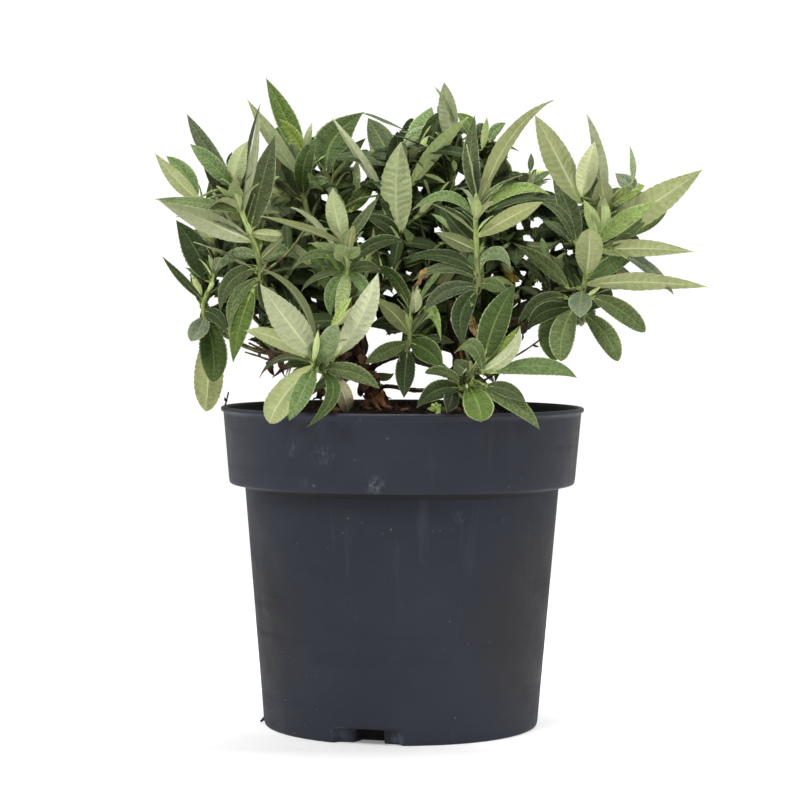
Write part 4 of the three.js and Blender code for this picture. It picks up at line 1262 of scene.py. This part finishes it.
GROWN = []
shoots = {name: build_shoot(name) for name in BOUGHS}
closed = close_body(shoots)
counts = {}
for name, pieces in shoots.items():
    for piece, node, slot in zip(pieces, ("foliage_" + name, "bough_" + name), ("leaves", "green_bark")):
        obj = piece.make()
        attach(obj, "root")
        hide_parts(node)
        obj.data.calc_loop_triangles()
        counts[piece.name] = len(obj.data.loop_triangles)


# ---------------------------------------------------------------- woody stems
def build_woody_stem(name, strips):
    """A short woody stem, flared over its roots and ridged, with papery strips of bark that lift off it."""
    rng = rng_for(name + "_stem")
    piece = Piece(name + "_stem_bark")
    (fx, fy), run, (flare, waist, fork) = STEMS[name]
    path = spline([np.array(p) * MM for p in ((fx, fy, 201.8), (fx, fy, 204.8), *run)], 0.0006)
    s = length_along(path)
    u = (s + 0.004) / (s[-1] + 0.004)
    r = np.where(u < 0.5, flare + (waist - flare) * np.sqrt(np.clip(u / 0.5, 0, 1)), waist + (fork - waist) * np.clip((u - 0.5) / 0.5, 0, 1)) * MM
    r[-5:] *= np.linspace(0.97, 0.80, 5)
    k = waist / 7.6

    def relief(i, ang, p):
        h = s[i]
        lobes = 0.0019 * k * np.cos(5 * ang + 0.6) * np.exp(-h / 0.006)
        ridges = 0.00075 * k * np.sin(7 * ang + 2.2 * np.sin(h * 260) + 1) * (0.6 + 0.4 * np.sin(h * 420 + 3 * ang))
        fine = 0.00030 * k * np.sin(19 * ang + 5 * np.sin(h * 510 + ang)) + 0.00028 * k * np.sin(h * 1900 + 4 * np.sin(3 * ang))
        return lobes + ridges + fine

    add_tube(piece, path, r, BARK, 60, relief)
    T = tangents(path)
    for k in range(strips):
        i = int(rng.integers(4, len(path) - 6))
        a = rng.uniform(0, 2 * math.pi)
        e1 = unit(np.cross(T[i], [0.3, 1, 0.1]))
        e2 = np.cross(T[i], e1)
        out = e1 * math.cos(a) + e2 * math.sin(a)
        side = np.cross(T[i], out)
        base = path[i] + out * (r[i] + 0.0002)
        L, w = rng.uniform(0.004, 0.013), rng.uniform(0.0012, 0.0032)
        add_strip(piece, base, T[i] * (1 if rng.random() < 0.6 else -1), out, side, L, w, rng.uniform(0.1, 0.8), k,
                  PEEL if rng.random() < 0.6 else BARK)
    obj = piece.make()
    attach(obj, "root")
    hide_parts(name + "_stem")


def add_strip(piece, base, along, out, side, L, w, lift, k, look):
    """A curling papery strip, rooted at base."""
    rows = 9
    top, low = [], []
    for q in range(rows):
        t = q / (rows - 1)
        c = base + along * L * t * (1 - 0.35 * lift * t) + out * (0.0003 + lift * L * t ** 2 * 0.7)
        ww = w * (1 - 0.35 * t) * (1 + 0.25 * math.sin(7 * t + k))
        for e in (-1, -0.33, 0.33, 1):
            v = c + side * e * ww / 2 + out * (-0.18 * ww * e * e)
            v = v + out * 0.0002 * math.sin(9 * t + e * 2 + k)
            top.append(v + out * 0.00012)
            low.append(v - out * 0.00012)
    n = rows * 4
    quads = []
    for q in range(rows - 1):
        for e in range(3):
            j = q * 4 + e
            quads.append([j, j + 1, j + 5, j + 4])
            quads.append([n + j + 4, n + j + 5, n + j + 1, n + j])
        j = q * 4
        quads.append([j, j + 4, n + j + 4, n + j])
        quads.append([j + 3, n + j + 3, n + j + 7, j + 7])
    for e in range(3):
        quads.append([e, n + e, n + e + 1, e + 1])
        j = (rows - 1) * 4 + e
        quads.append([j, j + 1, n + j + 1, n + j])
    piece.add(np.array(top + low), np.array(quads), look)


build_woody_stem("main", 54)
build_woody_stem("side", 30)


# ---------------------------------------------------------------- twigs, dry leaves and buds
def build_twigs():
    rng = rng_for("twigs")
    wood, dry = Piece("twigs_woody"), Piece("leaves_withered")
    main = lambda z: stem_axis("main", z) * MM
    side = lambda z: stem_axis("side", z) * MM
    runs = [
        # foot, then places in the frame with depths, radius
        ([main(216)], [(330, 372, -0.040), (305, 362, -0.050), (284, 354, -0.052), (262, 349, -0.050), (249, 343, -0.048)], 0.0013),
        ([on_sight(290, 357, -0.052)], [(271, 360, -0.056), (258, 356, -0.056), (245, 352, -0.054)], 0.0009),
        ([main(231)], [(357, 342, -0.026), (356, 322, -0.028), (353, 300, -0.030)], 0.0016),
        ([side(214)], [(490, 377, -0.040), (510, 360, -0.050), (530, 347, -0.052), (541, 339, -0.052)], 0.0009),
        ([on_sight(280, 353, -0.052)], [(279, 364, -0.054), (284, 375, -0.056), (290, 382, -0.057)], 0.0006),
        ([on_sight(292, 357, -0.051)], [(291, 367, -0.054), (287, 378, -0.056)], 0.0005),
        ([side(226)], [(500, 350, -0.004), (512, 330, 0.0), (520, 300, 0.002)], 0.0014),
        ([side(236)], [(452, 338, -0.012), (449, 320, -0.016), (448, 300, -0.018)], 0.0015),
    ]
    runs.append(([np.array([-0.1062, 0.006, 0.1866])], [(225, 408, 0.004), (226.5, 401, 0.003), (228.5, 392, 0.004)], 0.0008))
    for foot, places, radius in runs:
        path = spline(foot + [on_sight(*p) for p in places])
        s = length_along(path)
        r = radius * (1 - 0.45 * s / s[-1]) * (1 + 0.12 * np.sin(s * 700 + rng.uniform(0, 6)))
        add_tube(wood, path, r, STEM_AGES[int(rng.integers(0, 2))], 8)
        # buds along it
        T = tangents(path)
        for k in range(3, len(path) - 1, 7):
            side = unit(rng.normal(size=3))
            side = unit(side - (side @ T[k]) * T[k])
            b = spline([path[k], path[k] + side * 0.0016 + T[k] * 0.0008, path[k] + side * 0.0030 + T[k] * 0.0022], 0.0006)
            add_tube(wood, b, 0.0008 * np.sin(np.linspace(0.9, 3.0, len(b))) + 0.0001, STEM_AGES[1], 6)
    # dry leaves
    for u0, v0, u1, v1, u2, v2, w, y, tone in [
        (306, 362, 292, 354, 278, 348, 4.5, -0.070, "br1"), (300, 362, 287, 366, 272, 378, 4.5, -0.072, "br2"),
        (308, 366, 296, 372, 290, 384, 4.5, -0.074, "br1"), (303, 360, 296, 350, 292, 342, 4, -0.068, "br2"),
        (522, 322, 523, 330, 522, 341, 6, -0.030, "br2"), (430, 268, 422, 276, 412, 290, 7, -0.058, "st"),
        (504, 271, 511, 277, 520, 282, 6, -0.020, "ye"), (372, 398, 366, 404, 358, 410, 6, -0.030, "br1"),
        (352, 352, 345, 356, 340, 364, 9, -0.036, "br2"), (360, 348, 352, 350, 343, 349, 8, -0.034, "br2"),
        (358, 356, 364, 362, 366, 372, 8, -0.036, "br1"), (350, 358, 342, 366, 341, 374, 7, -0.038, "br2"),
        (366, 372, 374, 378, 377, 388, 8, -0.040, "br1"), (368, 380, 362, 388, 361, 397, 7, -0.040, "br2"),
        (470, 315, 474, 327, 478, 340, 8, -0.052, "st"),
        (272, 358, 270, 366, 274, 376, 6, -0.056, "br2"), (284, 356, 281, 364, 284, 374, 5, -0.054, "br2"),
        (280, 352, 288, 345, 294, 338, 5, -0.054, "br1"), (266, 352, 272, 358, 268, 366, 5, -0.054, "br2"),
        (296, 360, 300, 368, 298, 378, 5, -0.058, "br2"), (324, 389, 319, 395, 312, 401, 8, -0.040, "br2"),
    ]:
        p0, p1, p2 = on_sight(u0, v0, y), on_sight(u1, v1, y - 0.003), on_sight(u2, v2, y + 0.002)
        add_leaf(dry, MIDDLE, p0, p1, p2, w * per_px(y) * 1.3, unit(np.cross(AHEAD, p2 - p0)), (tone, tone), rng, fold=0.6,
                 recurve=0.5, wave=0.5, twist=2.0, roll=rng.uniform(-0.6, 0.6), curl=0.7)
    for piece, slot in ((wood, "woody_bark"), (dry, "leaves")):
        obj = piece.make()
        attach(obj, "root")


build_twigs()


# ---------------------------------------------------------------- pot
POT_DIM = dict(height=201.9, rim=115.0, collar_top=113.4, collar_foot=109.4, collar_z=153.2, body_top=99.6, body_foot=86.8,
               wall=1.6, floor=3.0)
NOTCHES = [math.radians(a) for a in (-104, 16, 136)]


def notch_depth(theta, z, grow=0.0):
    """How far the foot's wall is pressed in at an azimuth and a height, in mm, and how deep into the drain hole."""
    press = np.zeros(np.broadcast(theta, z).shape)
    hole = np.zeros_like(press)
    for a in NOTCHES:
        x = ((theta - a + math.pi) % (2 * math.pi) - math.pi) * 86.8
        half = 22.6 - 2.4 * np.clip(z / 10, 0, 1) + grow
        ease = lambda q: np.clip(q, 0, 1) ** 2 * (3 - 2 * np.clip(q, 0, 1))
        m = ease((half - np.abs(x)) / 2.2) * ease((10.4 + grow - z) / 1.8)
        bowl = 1 - (np.abs(x) / half) ** 2
        press = np.maximum(press, m * (3.2 + 4.6 * np.clip(bowl, 0, 1)))
        h = ease((10.4 - np.abs(x)) / 1.2) * ease((8.6 - z) / 1.0)
        hole = np.maximum(hole, h * m * 9.5)
    return press, hole


def build_pot():
    d = POT_DIM
    slope = (d["body_top"] - d["body_foot"]) / d["collar_z"]
    body = lambda z: d["body_foot"] + slope * z
    cs = (d["collar_top"] - d["collar_foot"]) / (198.9 - d["collar_z"])
    collar = lambda z: d["collar_foot"] + cs * (z - d["collar_z"])
    outer = [(0.0, 0.0, 0)]
    outer += [(r, 0.0, 0) for r in (30.0, 55.0, 66.0, 72.0, 76.0, 80.0)]
    outer += [(body(0) - 2 + 2 * math.sin(a), 2 - 2 * math.cos(a), 0) for a in np.linspace(0, math.pi / 2, 6)]
    outer += [(body(z), z, 0) for z in list(np.arange(2.8, 13.5, 0.8)) + [16, 20, 26, 34, 44, 56, 70, 85, 100, 115, 128, 138, 145, 149]]
    # fillet into the step under the collar, then round the collar's foot
    zc = d["collar_z"]
    outer += [(body(zc) + 1.4 - 1.4 * math.cos(a), zc - 1.4 + 1.4 * math.sin(a), 0) for a in np.linspace(0, math.pi / 2, 5)[1:]]
    outer += [(104.0, zc, 0)]
    outer += [(collar(zc) - 1.8 + 1.8 * math.sin(a), zc + 1.8 - 1.8 * math.cos(a), 0) for a in np.linspace(0, math.pi / 2, 6)]
    outer += [(collar(z), z, 0) for z in (157.5, 160, 164, 170, 177, 184, 190, 194, 196.5)]
    # the small turned-out lip
    outer += [(collar(198.2), 198.2, 0), (113.9, 198.75, 0), (114.55, 199.15, 0), (114.9, 199.7, 0), (115.0, 200.5, 0),
              (114.85, 201.15, 0), (114.4, 201.65, 0), (113.8, 201.9, 0), (112.7, 201.88, 0), (112.1, 201.6, 0), (111.75, 201.0, 1)]
    w = d["wall"]
    outer += [(collar(z) - w, z, 1) for z in (199, 196, 192, 187, 180, 172, 164, 158)]
    outer += [(collar(zc) - w - 0.6, zc + w + 0.7, 1), (collar(zc) - w - 1.8, zc + w, 1), (body(zc) - w + 1, zc + w, 1), (body(zc) - w, zc + w - 1, 1)]
    outer += [(body(z) - w, z, 1) for z in (148, 138, 120, 100, 80, 60, 40, 28, 20, 16, 14, 13, 12, 11, 10, 9, 8, 7, 6, 5)]
    outer += [(body(3) - w - 0.6, 3.6, 1), (body(3) - w - 1.6, 3.0, 1)] + [(r, 3.0, 1) for r in (80.0, 76.0, 72.0, 66.0, 55.0, 30.0, 0.0)]
    prof = np.array([(r, z) for r, z, _ in outer])
    inner = np.array([k for _, _, k in outer])
    theta = []
    for i in range(360):
        a = math.radians(i - 180)
        theta.append(a)
        if any(abs(((a - n + math.pi) % (2 * math.pi)) - math.pi) < math.radians(19) for n in NOTCHES):
            theta.append(a + math.radians(0.5))
    theta = np.array(theta)
    n, m = len(prof), len(theta)
    r = prof[:, 0][:, None] * np.ones(m)
    z = prof[:, 1][:, None] * np.ones(m)
    press, hole = notch_depth(theta[None, :], z)
    press_in, hole_in = notch_depth(theta[None, :], z, 2.2)
    is_in = inner[:, None] == 1
    shift = np.where(is_in, np.where(z > 3.5, press_in + hole_in, press_in + hole_in), press + hole)
    weight = np.clip((r - 62) / 14, 0, 1)
    low = z < 14
    r = np.where(low, r - shift * weight, r)
    # the moulding is never quite true
    r = r + 0.22 * np.sin(3 * theta + 0.7)[None, :] * np.clip(z / 200, 0, 1) + 0.10 * np.sin(7 * theta + 2)[None, :] * np.clip((z - 150) / 50, 0, 1)
    v = np.stack([r * np.cos(theta), r * np.sin(theta), z], -1) * MM
    first, last = 0, n - 1
    ring = np.arange((n - 2) * m).reshape(n - 2, m)
    nxt = np.roll(ring, -1, axis=1)
    verts = np.concatenate([v[1:-1].reshape(-1, 3), [[0, 0, 0]], [[0, 0, 0.003]]])
    c0, c1 = (n - 2) * m, (n - 2) * m + 1
    quads = np.stack([ring[:-1], nxt[:-1], nxt[1:], ring[1:]], -1).reshape(-1, 4)
    fan0 = np.stack([nxt[0], ring[0], np.full(m, c0)], -1)
    fan1 = np.stack([ring[-1], nxt[-1], np.full(m, c1)], -1)
    piece = Piece("pot_shell")
    looks = np.array([piece.look(POT), piece.look(POT_INSIDE), piece.look(POT_DRAIN_SHADE)])
    kind = np.where(inner[1:-1][:-1] == 1, 1, 0)[:, None] * np.ones(m, int)
    # faces deep in the drain holes take the near-black painted shade
    deep = (hole[1:-1][:-1] > 2.2) & (kind == 0)
    kind = np.where(deep, 2, kind)
    mats = np.concatenate([looks[kind.reshape(-1)], np.full(m, looks[0]), np.full(m, looks[1])])
    piece.add(verts, [quads, np.concatenate([fan0, fan1])], mats)
    obj = piece.make()
    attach(obj, "root")
    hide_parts("pot")


build_pot()


# ---------------------------------------------------------------- soil
def soil_height(x, y):
    """The mound's surface, in metres."""
    r = np.hypot(x, y)
    q = np.array([0, 0.27, 0.4, 0.6, 0.84, 1.0]) * 0.1094
    h = np.array([201.4, 201.4, 200.5, 197.0, 191.6, 188.0]) * MM
    p = np.stack([x, y, np.zeros_like(x)], -1)
    bumps = 0.0011 * wander(p, 3, 90) + 0.0008 * wander(p, 4, 230) + 0.0005 * wander(p, 5, 600)
    near = np.exp(-(np.hypot(x + 0.016, y + 0.018) / 0.026) ** 2) + np.exp(-(np.hypot(x - 0.038, y + 0.004) / 0.020) ** 2)
    fade = np.clip((0.1085 - r) / 0.006, 0, 1)
    return np.interp(r, q, h) + bumps * fade * (1 - 0.5 * near) + 0.0012 * near


def build_soil():
    rings, seg = 78, 220
    theta = 2 * np.pi * np.arange(seg) / seg
    radii = 0.1094 * (np.arange(1, rings + 1) / rings) ** 0.9
    x, y = radii[:, None] * np.cos(theta), radii[:, None] * np.sin(theta)
    top = np.stack([x, y, soil_height(x, y)], -1)
    # the side of the root ball, inside the pot
    side = []
    for z, r in [(0.1872, 0.1095), (0.170, 0.1082), (0.157, 0.1070), (0.1545, 0.0980), (0.140, 0.0962), (0.100, 0.0928), (0.060, 0.0894), (0.020, 0.0860), (0.0150, 0.0850)]:
        side.append(np.stack([r * np.cos(theta), r * np.sin(theta), np.full(seg, z)], -1))
    v = np.concatenate([top, np.array(side)])
    n = len(v)
    verts = np.concatenate([v.reshape(-1, 3), [[0, 0, float(soil_height(np.zeros(1), np.zeros(1))[0])]], [[0, 0, 0.015]]])
    ring = np.arange(n * seg).reshape(n, seg)
    nxt = np.roll(ring, -1, axis=1)
    quads = np.stack([ring[:-1], ring[1:], nxt[1:], nxt[:-1]], -1).reshape(-1, 4)
    fan0 = np.stack([ring[0], nxt[0], np.full(seg, n * seg)], -1)
    fan1 = np.stack([nxt[-1], ring[-1], np.full(seg, n * seg + 1)], -1)
    piece = Piece("soil_mound")
    piece.add(verts, [quads, np.concatenate([fan0, fan1])], SOIL)
    obj = piece.make()
    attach(obj, "root")
    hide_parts("soil")

    rng = rng_for("crumbs")
    crumbs = Piece("soil_crumbs")
    a, b = 7, 5  # a small uneven lump: rings and sides
    for k in range(620):
        r = 0.106 * math.sqrt(rng.random())
        t = rng.uniform(0, 2 * math.pi)
        x, y = r * math.cos(t), r * math.sin(t)
        size = rng.uniform(0.0008, 0.0025) * (1.5 if rng.random() < 0.10 else 1)
        chip = rng.random() < 0.14
        stretch = np.array([1.0, rng.uniform(0.35, 0.8), rng.uniform(0.25, 0.5)]) if chip else np.array([1, rng.uniform(0.7, 1), rng.uniform(0.6, 0.9)])
        if chip:
            size *= 1.7
        la = np.linspace(-math.pi / 2, math.pi / 2, 6)[1:-1]
        lo = 2 * np.pi * np.arange(8) / 8
        p = [np.array([0, 0, -1.0])] + [np.array([math.cos(q) * math.cos(w), math.cos(q) * math.sin(w), math.sin(q)]) for q in la for w in lo] + [np.array([0, 0, 1.0])]
        p = np.array(p) * (1 + rng.uniform(-0.22, 0.22, (len(p), 1))) * stretch * size
        q1, q2 = rng.uniform(0, 6.28), rng.uniform(-0.5, 0.5)
        c1, s1, c2, s2 = math.cos(q1), math.sin(q1), math.cos(q2), math.sin(q2)
        p = p @ np.array([[c2, 0, s2], [0, 1, 0], [-s2, 0, c2]]) @ np.array([[c1, s1, 0], [-s1, c1, 0], [0, 0, 1]])
        z = float(soil_height(np.array([x]), np.array([y]))[0]) + size * stretch[2] * 0.35
        if math.hypot(x + 0.016, y + 0.018) < 0.010 or math.hypot(x - 0.038, y + 0.004) < 0.008:
            continue
        p = p + np.array([x, y, z])
        far = np.hypot(p[:, 0], p[:, 1])
        if far.max() > 0.1092:
            continue
        f = [[0, 1 + (w + 1) % 8, 1 + w] for w in range(8)]
        quads = [[1 + i * 8 + w, 1 + i * 8 + (w + 1) % 8, 1 + (i + 1) * 8 + (w + 1) % 8, 1 + (i + 1) * 8 + w] for i in range(3) for w in range(8)]
        f += [[33, 25 + w, 25 + (w + 1) % 8] for w in range(8)]
        look = CRUMBS[2 if chip and rng.random() < 0.6 else int(rng.integers(0, 2))]
        crumbs.add(p, [np.array(quads), np.array(f)], look)
    obj = crumbs.make()
    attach(obj, "root")


build_soil()


def build_foot_of_plant():
    """A sprout in the soil, bark chips at the stem's foot, and the moulding burr on the pot's foot."""
    rng = rng_for("foot")
    leaves, stems, chips, burr = Piece("leaves_sprout"), Piece("stem_sprout"), Piece("bark_chips"), Piece("pot_burr")
    mid = on_sight(437, 411, -0.082)
    root = np.array([mid[0], mid[1], float(soil_height(np.array([mid[0]]), np.array([mid[1]]))[0]) - 0.001])
    add_stem(stems, spline([root, (root + mid) / 2 + np.array([0.0005, 0, 0]), mid], 0.001), 0.0008, 0.0006, 3.0, 4.0, rng, (), 8)
    for u, v, y, tone in ((427, 409, -0.084, "yg"), (431, 404, -0.080, "yg"), (441, 404, -0.079, "br"), (448, 410, -0.085, "ol"),
                          (436, 402, -0.082, "yg"), (440, 413, -0.092, "br")):
        tip = on_sight(u, v, y)
        way = unit(tip - mid)
        add_leaf(leaves, SMALL, mid, (mid + tip) / 2 + Z * 0.0008, tip, 0.42 * np.linalg.norm(tip - mid) + 0.0004,
                 unit(np.cross(AHEAD, way)), (tone, "lw"), rng, fold=0.3)
    for k, (u0, v0, u1, v1, w) in enumerate(((377, 396, 390, 411, 0.0040), (373, 399, 380, 412, 0.0032), (381, 403, 396, 411, 0.0026))):
        a, b = on_sight(u0, v0, -0.029), on_sight(u1, v1, -0.037)
        along = unit(b - a)
        side = unit(np.cross(along, -AHEAD))
        add_strip(chips, a, along, np.cross(side, along), side, float(np.linalg.norm(b - a)), w, 0.05, k, PEEL)
    a, b = on_sight(265, 718, -0.006), on_sight(260.5, 723, -0.006)
    b[2] = max(b[2], 0.0012)
    add_tube(burr, spline([a, (a + b) / 2, b], 0.0006), np.linspace(0.0013, 0.0006, len(spline([a, (a + b) / 2, b], 0.0006))), POT, 8)
    for piece, slot in ((leaves, "leaves"), (stems, "green_bark"), (chips, "woody_bark"), (burr, "pot_plastic")):
        obj = piece.make()
        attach(obj, "root")


build_foot_of_plant()


# ---------------------------------------------------------------- floor
def build_floor():
    look = Look("studio_floor", (0.86, 0.86, 0.86, 1), 0.9, Specular_IOR_Level=0.1)
    g = look.noise(14, 2, 0.5)
    look.colour(look.ramp(g, [(0.3, (0.855, 0.855, 0.855, 1)), (0.7, (0.865, 0.865, 0.865, 1))]))
    # painted light: the floor glows where the pot's shadow would fall to its sides and back, so that the only shadow
    # falls to the front
    look.bsdf.inputs["Emission Color"].default_value = (1, 1, 1, 1)
    painted_glow = look.maths("MULTIPLY", look.span(look.distance((0, 1.0, 0)), 1.104, 1.040, 0, 0.34),
                     look.span(look.distance((0, 0.06, 0)), 0.40, 0.20, 0, 1))
    look.link(painted_glow, look.bsdf.inputs["Emission Strength"])
    piece = Piece("floor")
    R = 0.9
    n = 96
    a = 2 * np.pi * np.arange(n) / n
    verts = np.stack([R * np.cos(a), R * np.sin(a), np.zeros(n)], -1)
    piece.add(np.concatenate([verts, [[0, 0, 0]]]), np.array([[i, (i + 1) % n, n] for i in range(n)]), look.mat)
    obj = piece.make(False)


build_floor()

print("body", closed)
print("triangles", counts, sum(counts.values()))
